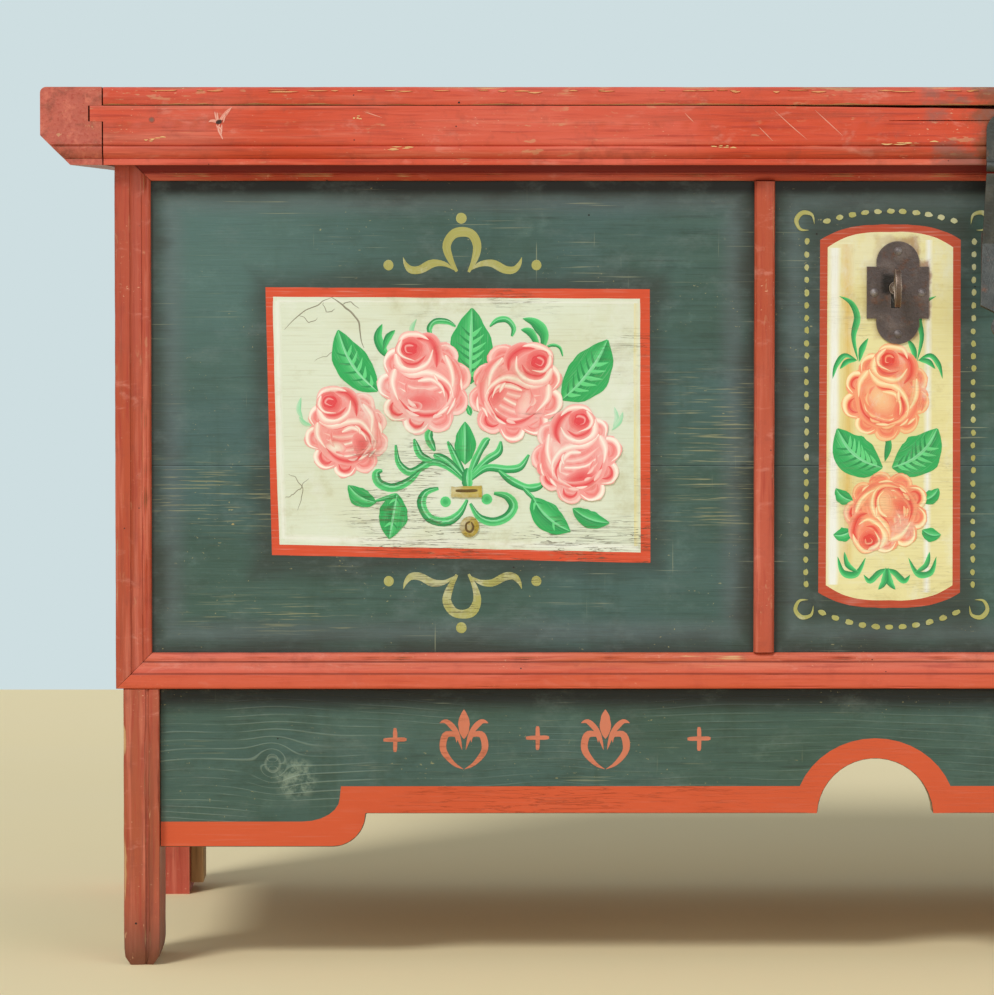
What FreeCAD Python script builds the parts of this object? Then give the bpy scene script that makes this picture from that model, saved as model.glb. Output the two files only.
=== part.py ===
import FreeCAD, Part
import math
import os

V = FreeCAD.Vector

# Overall sizes, in millimetres
chest_height = 719.0
case_length = 1448.0
case_depth = 590.0
stand_height = 227.5
board_thick = 24.0
floor_thick = 20.0

# Case boards: the lower boards' shares of the case's height, and the corner dovetails
front_lower_share = 0.395
back_lower_share = 0.492
end_lower_share = 0.445
tails_lower = 3
tails_upper = 4
tail_share = 0.48
tail_flare = 4.0

# Frame moulding on the front: an inner bead, a cove and an outer flat
frame_width = 29.5
frame_thick = 12.0
frame_bead_width = 7.5
frame_bead_edge = 4.0
frame_bead_crown = 6.0
frame_bead_swell = 0.5
frame_quirk = 7.2
frame_cove_step = 1.0
frame_cove_sag = 0.8
frame_flat_width = 12.5
frame_arris = 1.5
frame_drop = 18.2

# Upright strips between the panels
muntin_centre = 193.2
muntin_width = 17.0
muntin_thick = 9.0
muntin_edge = 4.0

# Lid
lid_board_thick = 28.0
lid_lip_height = 15.3
lid_seat_gap = 0.3
lid_boards = 3
rail_height = 47.9
rail_thick = 20.0
rail_clear = 2.0
cleat_width = 50.0
cleat_clear = 8.5
cleat_chamfer = 24.0
cleat_round = 5.0
tongue_length = 11.0
groove_clear = 0.2
lid_quirk_down = 31.0
lid_quirk_width = 2.0
lid_quirk_depth = 2.0
lid_ovolo_depth = 6.0
lid_ovolo_height = 10.0
lid_fillet_back = 5.0

# Stand
leg_width = 29.5
leg_depth = 96.0
leg_inset = 6.0
leg_proud = 10.0
leg_groove_in = 10.0
leg_groove_width = 2.6
leg_groove_depth = 2.0
apron_thick = 20.0
apron_block_height = 130.8
apron_edge_height = 103.3
apron_block_length = 141.5
arch_radius = 47.5
arch_centre = 101.2
arch_rise = 45.0
back_apron_height = 77.5
end_apron_height = 99.5
apron_setback = 4.0
tenon_length = 16.0
tenon_shoulder = 5.0
tenon_trim = 18.0
tenon_clear = 0.1
peg_radius = 4.0
peg_length = 22.0
ledger_width = 25.0
ledger_height = 20.0
front_block = 30.0
front_block_rise = 15.3
rear_block_width = 12.0
rear_block_depth = 50.0
rear_block_low = 8.0

# Till at the left end inside the case
till_width = 150.0
till_thick = 12.0
till_height = 130.0
till_below_rim = 30.0
till_housing = 5.0

# Strap hinges of the lid
hinge_offset = 480.0
hinge_width = 36.0
hinge_tip_width = 22.0
hinge_length = 360.0
hinge_strap_thick = 4.0
hinge_leaf_thick = 3.0
hinge_leaf_length = 130.0
hinge_axis_out = 8.0
hinge_knuckle_radius = 6.5
hinge_knuckle_middle = 16.0
hinge_side_clear = 0.3
hinge_pin_radius = 3.0
hinge_pin_over = 2.0
hinge_leaf_drop = 8.0
pin_clear = 0.05
strap_notch_clear = 0.5
strap_nails = 5
strap_nail_first = 55.0
leaf_nails = 4
leaf_nail_first = 22.0

# Hasp that hangs from the lid's front
hasp_thick = 3.5
hasp_plate_thick = 3.0
hasp_plate_top = 43.5
hasp_top_half = 15.0
hasp_mid_half = 17.5
hasp_low_half = 20.4
hasp_hinge_out = 3.5
hasp_hinge_drop = 1.0
hasp_knuckle_radius = 4.5
hasp_knuckle_middle = 10.0
hasp_knuckle_gap = 0.4
hasp_shoulder_gap = 1.0
hasp_pin_radius = 2.0
hasp_above_staple = 14.8
hasp_below_staple = 17.2
hasp_neck_half = 9.0
hasp_neck_length = 6.0
hasp_finial_radius = 12.2
hasp_finial_below = 13.0
hasp_curl_above = 2.0
hasp_curl_out = 5.0
hasp_stand_off = 2.2
hasp_hang = 22.0
hasp_rivet_radius = 5.0
hasp_rivet_height = 2.6
hasp_bolt_radius = 6.0
hasp_bolt_height = 3.2
hasp_bolt_shank = 3.0
hasp_bolt_spacing = 17.0
hasp_bolt_below = 15.0

# Staple on the back of the hasp, and its slot
staple_width = 6.0
staple_drop = 80.8
staple_half = 11.0
staple_wall = 4.0
staple_eye_start = 7.0
staple_tip_clear = 1.0
slot_plate_thick = 1.5
slot_plate_half = 16.0
slot_plate_margin = 11.0
slot_half_width = 6.0
slot_clear_up = 5.0
slot_clear_down = 10.0

# Lock let into the inside of the front
lock_wall = 8.0
lock_plate_thick = 2.0
lock_cover_wall = 1.5
lock_margin = 30.0
lock_margin_right = 22.0
lock_margin_up = 20.0
lock_pocket_clear = 0.3
bolt_thick = 5.0
bolt_half = 6.0
bolt_rise = 18.5
bolt_clear = 0.3
bolt_tail_gap = 1.0
bolt_tail_back = 20.0
bolt_tail_front = 24.0
bolt_riser = 18.0
bolt_riser_width = 10.0
bolt_tip_gap = 0.8
bolt_lug = 6.0
bolt_lug_front_top = 5.0
bolt_lug_back_top = 11.5
keeper_width = 6.0
keeper_wall = 2.5
keeper_first = 15.0
keeper_second = 35.0
spring_thick = 1.2
spring_length = 20.0
spring_centre = 52.0
spring_rise = 3.0
spring_post = 4.0

# Key and keyhole
key_offset = 86.0
key_stem_radius = 3.5
key_tip_radius = 3.0
key_tip_over = 1.5
key_bit_radius = 13.0
key_bit_thick = 4.5
key_bit_clear = 0.5
key_bit_side = 0.3
key_collar_radius = 5.4
key_collar = 3.0
key_collar_gap = 0.6
key_neck = 8.0
key_bow_half_height = 15.5
key_bow_half_depth = 12.5
key_bow_rim = 5.5
key_bow_thick = 4.5
keyhole_radius = 5.8
keyhole_slot_half = 3.6
keyhole_slot_drop = 16.5

# Escutcheon
escutcheon_offset = 84.0
escutcheon_drop = 3.7
escutcheon_thick = 2.0
escutcheon_half_width = 25.4
escutcheon_half_box = 21.3
escutcheon_lobe_radius = 17.6
escutcheon_half_height = 42.0
escutcheon_pin_in = 8.0
escutcheon_pin_side_in = 6.0

# Nails and pins
nail_head_radius = 5.0
nail_head_height = 2.2
nail_shank_radius = 1.8
nail_shank_length = 20.0
pin_head_radius = 3.6
pin_head_height = 2.0
pin_shank_radius = 1.2
pin_cover = 1.0
tack_head_radius = 2.6
tack_head_height = 1.2
tack_shank_radius = 1.0
tack_shank_length = 5.5
tack_edge = 1.0

# Levels and planes that follow from the sizes
half_case = case_length / 2
x_shoulder = half_case - board_thick
z_lid = chest_height - lid_board_thick
z_lip = chest_height - lid_lip_height
z_rail = z_lip - rail_height
z_rim = z_lid - lid_seat_gap
x_cleat_in = half_case + cleat_clear
x_cleat_out = x_cleat_in + cleat_width
fascia_reach = frame_thick + rail_clear + rail_thick
hasp_axis_reach = fascia_reach + hasp_hinge_out
hasp_lie_reach = slot_plate_thick + hasp_stand_off + hasp_thick / 2
z_hasp = z_rail - hasp_hinge_drop
z_bolt = z_hasp - staple_drop
key_height = z_bolt - bolt_rise
escutcheon_height = key_height - escutcheon_drop
x_key = -key_offset
leg_outer = half_case - leg_inset
leg_inner = leg_outer - leg_width
apron_block_low = stand_height - apron_block_height
apron_edge_low = stand_height - apron_edge_height
back_apron_low = stand_height - back_apron_height
end_apron_low = stand_height - end_apron_height
front_block_low = apron_block_low + front_block_rise

# Drops along the hasp below its hinge
hasp_crank_drop = staple_drop - staple_half - hasp_above_staple
hasp_low_drop = staple_drop + staple_half + hasp_below_staple
hasp_neck_drop = hasp_low_drop + hasp_neck_length
hasp_finial_drop = hasp_neck_drop + hasp_finial_below
hasp_curl_drop = hasp_finial_drop - hasp_curl_above
curl_tip_drop = hasp_finial_drop + hasp_finial_radius

# Depth is built from the face of the front boards and centred at the end
y_front = 0.0
y_back = y_front + case_depth
y_in_front = y_front + board_thick
y_in_back = y_back - board_thick
y_fascia = y_front - fascia_reach
y_hasp = y_front - hasp_axis_reach
y_hasp_lie = y_front - hasp_lie_reach
y_hinge = y_back + hinge_axis_out
z_hinge = z_lid - hinge_strap_thick / 2
y_lock = y_front + lock_wall
y_plate_back = y_lock + lock_plate_thick
y_bolt = y_plate_back + bolt_clear
y_bolt_back = y_bolt + bolt_thick
y_staple_tip = y_bolt_back + staple_tip_clear + staple_wall
key_throw = 60.0
bolt_per_turn = 0.9 * key_bit_radius

X = V(1, 0, 0)
Y = V(0, 1, 0)
Z = V(0, 0, 1)
shapes = {}


# Solids from sizes
def box(x0, x1, y0, y1, z0, z1):
    return Part.makeBox(x1 - x0, y1 - y0, z1 - z0, V(x0, y0, z0))


def rod(radius, length, start, direction):
    return Part.makeCylinder(radius, length, start, direction)


def face_from(points):
    return Part.Face(Part.makePolygon(points + [points[0]]))


def prism_xz(points, y0, y1):
    face = face_from([V(x, y0, z) for x, z in points])
    return face.extrude(V(0, y1 - y0, 0))


def prism_yz(points, x0, x1):
    face = face_from([V(x0, y, z) for y, z in points])
    return face.extrude(V(x1 - x0, 0, 0))


def prism_xy(points, z0, z1):
    face = face_from([V(x, y, z0) for x, y in points])
    return face.extrude(V(0, 0, z1 - z0))


def line(a, b):
    return Part.LineSegment(a, b).toShape()


def arc(a, middle, b):
    return Part.Arc(a, middle, b).toShape()


def face_of(edges):
    return Part.Face(Part.Wire(edges))


def joined(solids):
    whole = solids[0]
    if len(solids) > 1:
        whole = whole.fuse(solids[1:])
    return whole.removeSplitter()


def cut_all(shape, tools):
    for tool in tools:
        shape = shape.cut(tool)
    return shape


def domed(point, direction, head_radius, head_height, shank_radius, shank_length):
    """Round head standing on the point along the direction, with its shank behind it."""
    ball = (head_radius ** 2 + head_height ** 2) / (2 * head_height)
    half_turn = math.asin(head_radius / ball) / 2
    rim = V(head_radius, 0, 0)
    crown = V(0, 0, head_height)
    shoulder = V(ball * math.sin(half_turn), 0, ball * math.cos(half_turn) - ball + head_height)
    profile = face_of([line(V(0, 0, 0), rim), arc(rim, shoulder, crown), line(crown, V(0, 0, 0))])
    head = profile.revolve(V(0, 0, 0), Z, 360)
    shank = rod(shank_radius, shank_length, V(0, 0, -shank_length), Z)
    nail = joined([head, shank])
    turn = FreeCAD.Rotation(Z, direction)
    nail.Placement = FreeCAD.Placement(point, turn)
    return nail


def nail_at(point, direction):
    return domed(point, direction, nail_head_radius, nail_head_height, nail_shank_radius, nail_shank_length)


def pin_at(point, direction):
    shank = escutcheon_thick + lock_wall - pin_cover
    return domed(point, direction, pin_head_radius, pin_head_height, pin_shank_radius, shank)


def tack_at(point, direction):
    return domed(point, direction, tack_head_radius, tack_head_height, tack_shank_radius, tack_shank_length)


def mirrored(shape):
    return shape.mirror(V(0, 0, 0), X)


# Case boards with dovetailed corners
def tail_set(z0, z1, count, y0, y1):
    pitch = (z1 - z0) / count
    half = tail_share * pitch / 2
    tails = []
    for number in range(count):
        middle = z0 + (number + 0.5) * pitch
        outline = [
            (x_shoulder, middle - half),
            (half_case, middle - half - tail_flare),
            (half_case, middle + half + tail_flare),
            (x_shoulder, middle + half),
        ]
        tail = prism_xz(outline, y0, y1)
        tails.append(tail)
        tails.append(mirrored(tail))
    return tails


def long_board(z0, z1, y0, y1, tails):
    return joined([box(-x_shoulder, x_shoulder, y0, y1, z0, z1)] + tails)


case_height = z_rim - stand_height
z_front_joint = stand_height + front_lower_share * case_height
z_back_joint = stand_height + back_lower_share * case_height
z_end_joint = stand_height + end_lower_share * case_height
front_low_tails = tail_set(stand_height, z_front_joint, tails_lower, y_front, y_in_front)
front_up_tails = tail_set(z_front_joint, z_rim, tails_upper, y_front, y_in_front)
back_low_tails = tail_set(stand_height, z_back_joint, tails_lower, y_in_back, y_back)
back_up_tails = tail_set(z_back_joint, z_rim, tails_upper, y_in_back, y_back)
all_tails = front_low_tails + front_up_tails + back_low_tails + back_up_tails

front_upper = long_board(z_front_joint, z_rim, y_front, y_in_front, front_up_tails)
back_upper = long_board(z_back_joint, z_rim, y_in_back, y_back, back_up_tails)
shapes["front_board_lower"] = long_board(stand_height, z_front_joint, y_front, y_in_front, front_low_tails)
shapes["back_board_lower"] = long_board(stand_height, z_back_joint, y_in_back, y_back, back_low_tails)
end_levels = {"lower": (stand_height, z_end_joint), "upper": (z_end_joint, z_rim)}
for level, (z0, z1) in end_levels.items():
    end = box(x_shoulder, half_case, y_front, y_back, z0, z1)
    right = cut_all(end, all_tails)
    shapes["end_board_right_" + level] = right
    shapes["end_board_left_" + level] = mirrored(right)

floor_width = (y_in_back - y_in_front) / 3
for number, place in enumerate(["front", "middle", "back"]):
    y0 = y_in_front + number * floor_width
    shapes["floor_board_" + place] = box(
        -x_shoulder, x_shoulder, y0, y0 + floor_width, stand_height, stand_height + floor_thick
    )

# Till, housed in the front and back boards
z_till_top = z_rim - till_below_rim
z_till_low = z_till_top - till_height
x_till = -x_shoulder + till_width
till_side = box(
    x_till, x_till + till_thick, y_in_front - till_housing, y_in_back + till_housing, z_till_low, z_till_top
)
till_bottom = box(
    -x_shoulder, x_till, y_in_front - till_housing, y_in_back + till_housing, z_till_low, z_till_low + till_thick
)
shapes["till_side"] = till_side
shapes["till_bottom"] = till_bottom


# Frame moulding: the section runs outward from the inner edge and forward from the boards
def frame_section(origin, outward):
    def at(u, v):
        return origin + outward * u - Y * v

    cove_start = frame_bead_width
    cove_end = frame_width - frame_flat_width
    cove_top = frame_thick - frame_cove_step
    bead_low = at(0, frame_bead_edge)
    bead_top = at(frame_bead_width / 2, frame_bead_crown + frame_bead_swell)
    bead_high = at(frame_bead_width, frame_bead_crown)
    cove_mid = at(
        (cove_start + cove_end) / 2 + frame_cove_sag, (frame_quirk + cove_top) / 2 - frame_cove_sag
    )
    corners = [
        at(cove_end, cove_top),
        at(cove_end, frame_thick),
        at(frame_width - frame_arris, frame_thick),
        at(frame_width, frame_thick - frame_arris),
        at(frame_width, 0),
        at(0, 0),
        bead_low,
    ]
    edges = [
        arc(bead_low, bead_top, bead_high),
        line(bead_high, at(cove_start, frame_quirk)),
        arc(at(cove_start, frame_quirk), cove_mid, at(cove_end, cove_top)),
    ]
    for start, end in zip(corners[:-1], corners[1:]):
        edges.append(line(start, end))
    return face_of(edges)


z_frame_low = stand_height
z_frame_high = z_rim - frame_drop
x_frame_in = half_case - frame_width
z_frame_in_low = z_frame_low + frame_width
z_frame_in_high = z_frame_high - frame_width
y_mitre = y_front - frame_thick - 1
long_run = frame_section(V(-half_case, y_front, z_frame_in_low), V(0, 0, -1)).extrude(V(case_length, 0, 0))
low_mitre = [
    (-half_case, z_frame_low),
    (half_case, z_frame_low),
    (x_frame_in, z_frame_in_low),
    (-x_frame_in, z_frame_in_low),
]
shapes["frame_bottom"] = long_run.common(prism_xz(low_mitre, y_mitre, y_front))
top_run = frame_section(V(-half_case, y_front, z_frame_in_high), Z).extrude(V(case_length, 0, 0))
top_mitre = [
    (-half_case, z_frame_high),
    (half_case, z_frame_high),
    (x_frame_in, z_frame_in_high),
    (-x_frame_in, z_frame_in_high),
]
shapes["frame_top"] = top_run.common(prism_xz(top_mitre, y_mitre, y_front))
side_run = frame_section(V(x_frame_in, y_front, z_frame_low), X).extrude(V(0, 0, z_frame_high - z_frame_low))
side_mitre = [
    (half_case, z_frame_low),
    (half_case, z_frame_high),
    (x_frame_in, z_frame_in_high),
    (x_frame_in, z_frame_in_low),
]
frame_right = side_run.common(prism_xz(side_mitre, y_mitre, y_front))
shapes["frame_right"] = frame_right
shapes["frame_left"] = mirrored(frame_right)


# Upright strip with rounded arrises
def muntin(middle):
    half = muntin_width / 2
    inner = half - muntin_edge
    y_low = y_front - muntin_thick + muntin_edge
    y_top = y_front - muntin_thick
    bend = muntin_edge * (1 - math.sqrt(0.5))

    def at(x, y):
        return V(middle + x, y, z_frame_in_low)

    edges = [
        line(at(half, y_front), at(half, y_low)),
        arc(at(half, y_low), at(half - bend, y_top + bend), at(inner, y_top)),
        line(at(inner, y_top), at(-inner, y_top)),
        arc(at(-inner, y_top), at(-half + bend, y_top + bend), at(-half, y_low)),
        line(at(-half, y_low), at(-half, y_front)),
        line(at(-half, y_front), at(half, y_front)),
    ]
    return face_of(edges).extrude(V(0, 0, z_frame_in_high - z_frame_in_low))


shapes["muntin_right"] = muntin(muntin_centre)
shapes["muntin_left"] = muntin(-muntin_centre)

# Legs and aprons of the stand
y_leg = y_front - leg_proud
y_rear_leg = y_back - leg_depth
y_front_tenon = y_front + tenon_shoulder
y_front_tenon_end = y_front + apron_thick - tenon_shoulder
y_back_apron = y_back - apron_setback - apron_thick
z_tenon_top = stand_height - tenon_trim


def apron_profile():
    """Front apron outline with rounded end blocks and two arches."""
    x_block = leg_inner - apron_block_length
    drop = apron_edge_low - apron_block_low
    x_step = x_block - drop
    bend = drop * math.sqrt(0.5)
    z_arch = apron_edge_low + arch_rise
    foot = math.sqrt(arch_radius ** 2 - (arch_radius - arch_rise) ** 2)
    edges = []

    def at(x, z):
        return V(x, y_front, z)

    def arch(middle):
        low_right = at(middle + foot, apron_edge_low)
        low_left = at(middle - foot, apron_edge_low)
        return arc(low_right, at(middle, z_arch), low_left), low_right, low_left

    right_arch, right_start, right_end = arch(arch_centre)
    left_arch, left_start, left_end = arch(-arch_centre)
    edges.append(line(at(leg_inner, stand_height), at(leg_inner, apron_block_low)))
    edges.append(line(at(leg_inner, apron_block_low), at(x_block, apron_block_low)))
    edges.append(
        arc(at(x_block, apron_block_low), at(x_block - bend, apron_edge_low - bend), at(x_step, apron_edge_low))
    )
    edges.append(line(at(x_step, apron_edge_low), right_start))
    edges.append(right_arch)
    edges.append(line(right_end, left_start))
    edges.append(left_arch)
    edges.append(line(left_end, at(-x_step, apron_edge_low)))
    edges.append(
        arc(at(-x_step, apron_edge_low), at(-x_block + bend, apron_edge_low - bend), at(-x_block, apron_block_low))
    )
    edges.append(line(at(-x_block, apron_block_low), at(-leg_inner, apron_block_low)))
    edges.append(line(at(-leg_inner, apron_block_low), at(-leg_inner, stand_height)))
    edges.append(line(at(-leg_inner, stand_height), at(leg_inner, stand_height)))
    return face_of(edges)


def x_tenon(side, y0, y1, z0, z1, clear):
    """Tenon, or with a clearance its mortise, that runs along X into a leg."""
    reach = leg_inner + tenon_length + clear
    x0 = min(side * leg_inner, side * reach)
    x1 = max(side * leg_inner, side * reach)
    return box(x0, x1, y0 - clear, y1 + clear, z0 - clear, z1 + clear)


def y_tenon(at_front, x0, x1, z0, z1, clear):
    """Tenon, or with a clearance its mortise, that runs along Y into a right leg."""
    if at_front:
        y1 = y_leg + leg_depth
        y0 = y1 - tenon_length - clear
    else:
        y0 = y_rear_leg
        y1 = y0 + tenon_length + clear
    return box(x0 - clear, x1 + clear, y0, y1, z0 - clear, z1 + clear)


z_front_tenon = apron_block_low + tenon_trim
z_back_tenon = back_apron_low + tenon_trim
z_end_tenon = end_apron_low + tenon_trim
front_apron = [apron_profile().extrude(V(0, apron_thick, 0))]
back_apron = [box(-leg_inner, leg_inner, y_back_apron, y_back_apron + apron_thick, back_apron_low, stand_height)]
y_back_tenon = y_back_apron + tenon_shoulder
y_back_tenon_end = y_back_apron + apron_thick - tenon_shoulder
for side in (-1, 1):
    front_apron.append(x_tenon(side, y_front_tenon, y_front_tenon_end, z_front_tenon, z_tenon_top, 0))
    back_apron.append(x_tenon(side, y_back_tenon, y_back_tenon_end, z_back_tenon, z_tenon_top, 0))
shapes["apron_front"] = joined(front_apron)
shapes["apron_back"] = joined(back_apron)

x_end_apron = leg_outer - apron_setback - apron_thick
x_end_tenon = x_end_apron + tenon_shoulder
x_end_tenon_end = x_end_apron + apron_thick - tenon_shoulder
end_apron = joined(
    [
        box(
            x_end_apron, x_end_apron + apron_thick, y_leg + leg_depth, y_rear_leg, end_apron_low, stand_height
        ),
        y_tenon(True, x_end_tenon, x_end_tenon_end, z_end_tenon, z_tenon_top, 0),
        y_tenon(False, x_end_tenon, x_end_tenon_end, z_end_tenon, z_tenon_top, 0),
    ]
)
peg_heights = (z_end_tenon + peg_radius * 2, z_tenon_top - peg_radius * 2)
y_peg_front = y_leg + leg_depth - tenon_length / 2
y_peg_rear = y_rear_leg + tenon_length / 2
right_pegs = []
for y_peg in (y_peg_front, y_peg_rear):
    for z_peg in peg_heights:
        right_pegs.append(rod(peg_radius, peg_length, V(leg_outer - peg_length, y_peg, z_peg), X))
end_apron = cut_all(end_apron, right_pegs)
shapes["apron_right"] = end_apron
shapes["apron_left"] = mirrored(end_apron)
shapes["stand_pegs"] = Part.makeCompound(right_pegs + [mirrored(peg) for peg in right_pegs])

groove_middle = leg_inner + leg_groove_in
leg_groove = prism_xy(
    [
        (groove_middle - leg_groove_width / 2, y_leg - 0.01),
        (groove_middle + leg_groove_width / 2, y_leg - 0.01),
        (groove_middle, y_leg + leg_groove_depth),
    ],
    0,
    stand_height,
)
front_leg = box(leg_inner, leg_outer, y_leg, y_leg + leg_depth, 0, stand_height)
front_leg = cut_all(
    front_leg,
    [
        leg_groove,
        x_tenon(1, y_front_tenon, y_front_tenon_end, z_front_tenon, z_tenon_top, tenon_clear),
        y_tenon(True, x_end_tenon, x_end_tenon_end, z_end_tenon, z_tenon_top, tenon_clear),
    ]
    + right_pegs,
)
rear_leg = box(leg_inner, leg_outer, y_rear_leg, y_back, 0, stand_height)
rear_leg = cut_all(
    rear_leg,
    [
        x_tenon(1, y_back_tenon, y_back_tenon_end, z_back_tenon, z_tenon_top, tenon_clear),
        y_tenon(False, x_end_tenon, x_end_tenon_end, z_end_tenon, z_tenon_top, tenon_clear),
    ]
    + right_pegs,
)
shapes["leg_front_right"] = front_leg
shapes["leg_front_left"] = mirrored(front_leg)
shapes["leg_rear_right"] = rear_leg
shapes["leg_rear_left"] = mirrored(rear_leg)

z_ledger = stand_height - ledger_height
y_ledger = y_front + apron_thick
shapes["floor_ledgers"] = Part.makeCompound(
    [
        box(-leg_inner, leg_inner, y_ledger, y_ledger + ledger_width, z_ledger, stand_height),
        box(-leg_inner, leg_inner, y_back_apron - ledger_width, y_back_apron, z_ledger, stand_height),
    ]
)
front_corner = box(leg_inner - front_block, leg_inner, y_ledger, y_ledger + front_block, front_block_low, z_ledger)
rear_corner = box(
    leg_inner - rear_block_width,
    leg_inner,
    y_back_apron - rear_block_depth,
    y_back_apron,
    rear_block_low,
    z_ledger,
)
shapes["corner_blocks"] = Part.makeCompound(
    [front_corner, mirrored(front_corner), rear_corner, mirrored(rear_corner)]
)


# Lid: the front profile is shared by the rail and the two cleats
def lid_profile(x0, x1, y_end, z_top):
    z_quirk = z_lip - lid_quirk_down
    z_quirk_low = z_quirk - lid_quirk_width
    z_ovolo = z_quirk_low - lid_ovolo_height
    y_ovolo = y_fascia + lid_ovolo_depth
    sweep_radius = (lid_ovolo_depth ** 2 + lid_ovolo_height ** 2) / (2 * lid_ovolo_depth)
    half_sweep = math.asin(lid_ovolo_height / sweep_radius) / 2

    def at(y, z):
        return V(x0, y, z)

    y_round = y_fascia + sweep_radius * (1 - math.cos(half_sweep))
    round_middle = at(y_round, z_quirk_low - sweep_radius * math.sin(half_sweep))
    edges = [
        line(at(y_fascia, z_top), at(y_fascia, z_quirk)),
        line(at(y_fascia, z_quirk), at(y_fascia + lid_quirk_depth, z_quirk_low)),
        line(at(y_fascia + lid_quirk_depth, z_quirk_low), at(y_fascia, z_quirk_low)),
        arc(at(y_fascia, z_quirk_low), round_middle, at(y_ovolo, z_ovolo)),
        line(at(y_ovolo, z_ovolo), at(y_fascia + lid_fillet_back, z_ovolo)),
        line(at(y_fascia + lid_fillet_back, z_ovolo), at(y_fascia + lid_fillet_back, z_rail)),
        line(at(y_fascia + lid_fillet_back, z_rail), at(y_end, z_rail)),
        line(at(y_end, z_rail), at(y_end, z_top)),
        line(at(y_end, z_top), at(y_fascia, z_top)),
    ]
    return face_of(edges).extrude(V(x1 - x0, 0, 0))


y_rail_back = y_fascia + rail_thick
x_tongue = x_cleat_in + tongue_length - groove_clear
lid_front_rail = joined(
    [
        lid_profile(-x_cleat_in, x_cleat_in, y_rail_back, z_lip),
        box(-x_tongue, x_tongue, y_fascia, y_rail_back, z_lid, z_lip),
    ]
)
lid_depth = y_back - y_fascia
lid_board_width = lid_depth / lid_boards
lid_panels = {}
for number, place in enumerate(["front", "middle", "back"]):
    y0 = y_fascia + number * lid_board_width
    y1 = y0 + lid_board_width
    y_low = y0
    if number == 0:
        y_low = y_rail_back
    lid_panels[place] = joined(
        [
            box(-x_cleat_in, x_cleat_in, y0, y1, z_lip, chest_height),
            box(-x_tongue, x_tongue, y_low, y1, z_lid, z_lip),
        ]
    )

corner = cleat_round * (1 - math.sqrt(0.5))
cleat_edges = [
    line(V(x_cleat_in, y_fascia, z_rail), V(x_cleat_out - cleat_chamfer, y_fascia, z_rail)),
    line(V(x_cleat_out - cleat_chamfer, y_fascia, z_rail), V(x_cleat_out, y_fascia, z_rail + cleat_chamfer)),
    line(V(x_cleat_out, y_fascia, z_rail + cleat_chamfer), V(x_cleat_out, y_fascia, chest_height - cleat_round)),
    arc(
        V(x_cleat_out, y_fascia, chest_height - cleat_round),
        V(x_cleat_out - corner, y_fascia, chest_height - corner),
        V(x_cleat_out - cleat_round, y_fascia, chest_height),
    ),
    line(V(x_cleat_out - cleat_round, y_fascia, chest_height), V(x_cleat_in, y_fascia, chest_height)),
    line(V(x_cleat_in, y_fascia, chest_height), V(x_cleat_in, y_fascia, z_rail)),
]
cleat = face_of(cleat_edges).extrude(V(0, lid_depth, 0))
cleat = cleat.common(lid_profile(x_cleat_in, x_cleat_out, y_back, chest_height))
cleat_groove = box(x_cleat_in - 1, x_cleat_in + tongue_length, y_fascia - 1, y_back + 1, z_lid, z_lip)
cleat = cleat.cut(cleat_groove)
shapes["lid_cleat_right"] = cleat
shapes["lid_cleat_left"] = mirrored(cleat)


# Strap hinge on the right: strap under the lid, leaf on the back, pin and nails
def strap_outline():
    half = hinge_width / 2
    tip = hinge_tip_width / 2
    y_tip = y_back - hinge_length + tip

    def at(x, y):
        return V(hinge_offset + x, y, z_lid - hinge_strap_thick)

    edges = [
        line(at(half, y_back), at(tip, y_tip)),
        arc(at(tip, y_tip), at(0, y_tip - tip), at(-tip, y_tip)),
        line(at(-tip, y_tip), at(-half, y_back)),
        line(at(-half, y_back), at(half, y_back)),
    ]
    return face_of(edges)


middle_half = hinge_knuckle_middle / 2
side_start = middle_half + hinge_side_clear
strap_end = hinge_offset - middle_half
strap = joined(
    [
        strap_outline().extrude(V(0, 0, hinge_strap_thick)),
        box(strap_end, hinge_offset + middle_half, y_back, y_hinge, z_lid - hinge_strap_thick, z_lid),
        rod(hinge_knuckle_radius, hinge_knuckle_middle, V(strap_end, y_hinge, z_hinge), X),
    ]
)
strap = strap.cut(
    rod(hinge_pin_radius + pin_clear, hinge_knuckle_middle, V(strap_end, y_hinge, z_hinge), X)
)
z_leaf = z_hinge - hinge_leaf_drop
leaf_parts = [
    box(
        hinge_offset - hinge_width / 2,
        hinge_offset + hinge_width / 2,
        y_back,
        y_back + hinge_leaf_thick,
        z_leaf - hinge_leaf_length,
        z_leaf,
    )
]
side_length = hinge_width / 2 - side_start
for x0 in (hinge_offset - hinge_width / 2, hinge_offset + side_start):
    leaf_parts.append(box(x0, x0 + side_length, y_back, y_back + hinge_leaf_thick, z_leaf, z_hinge))
    leaf_parts.append(rod(hinge_knuckle_radius, side_length, V(x0, y_hinge, z_hinge), X))
    leaf_parts.append(
        box(x0, x0 + side_length, y_back, y_hinge, z_hinge - hinge_knuckle_radius, z_hinge)
    )
leaf = joined(leaf_parts)
x_pin = hinge_offset - hinge_width / 2 - hinge_pin_over
hinge_pin = rod(hinge_pin_radius, hinge_width + 2 * hinge_pin_over, V(x_pin, y_hinge, z_hinge), X)
leaf = leaf.cut(hinge_pin)
strap_nail_set = []
nail_run = hinge_length - strap_nail_first - hinge_tip_width
for number in range(strap_nails):
    y_nail = y_back - strap_nail_first - number * nail_run / (strap_nails - 1)
    strap_nail_set.append(nail_at(V(hinge_offset, y_nail, z_lid - hinge_strap_thick), V(0, 0, -1)))
leaf_nail_set = []
leaf_run = hinge_leaf_length - 2 * leaf_nail_first
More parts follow.
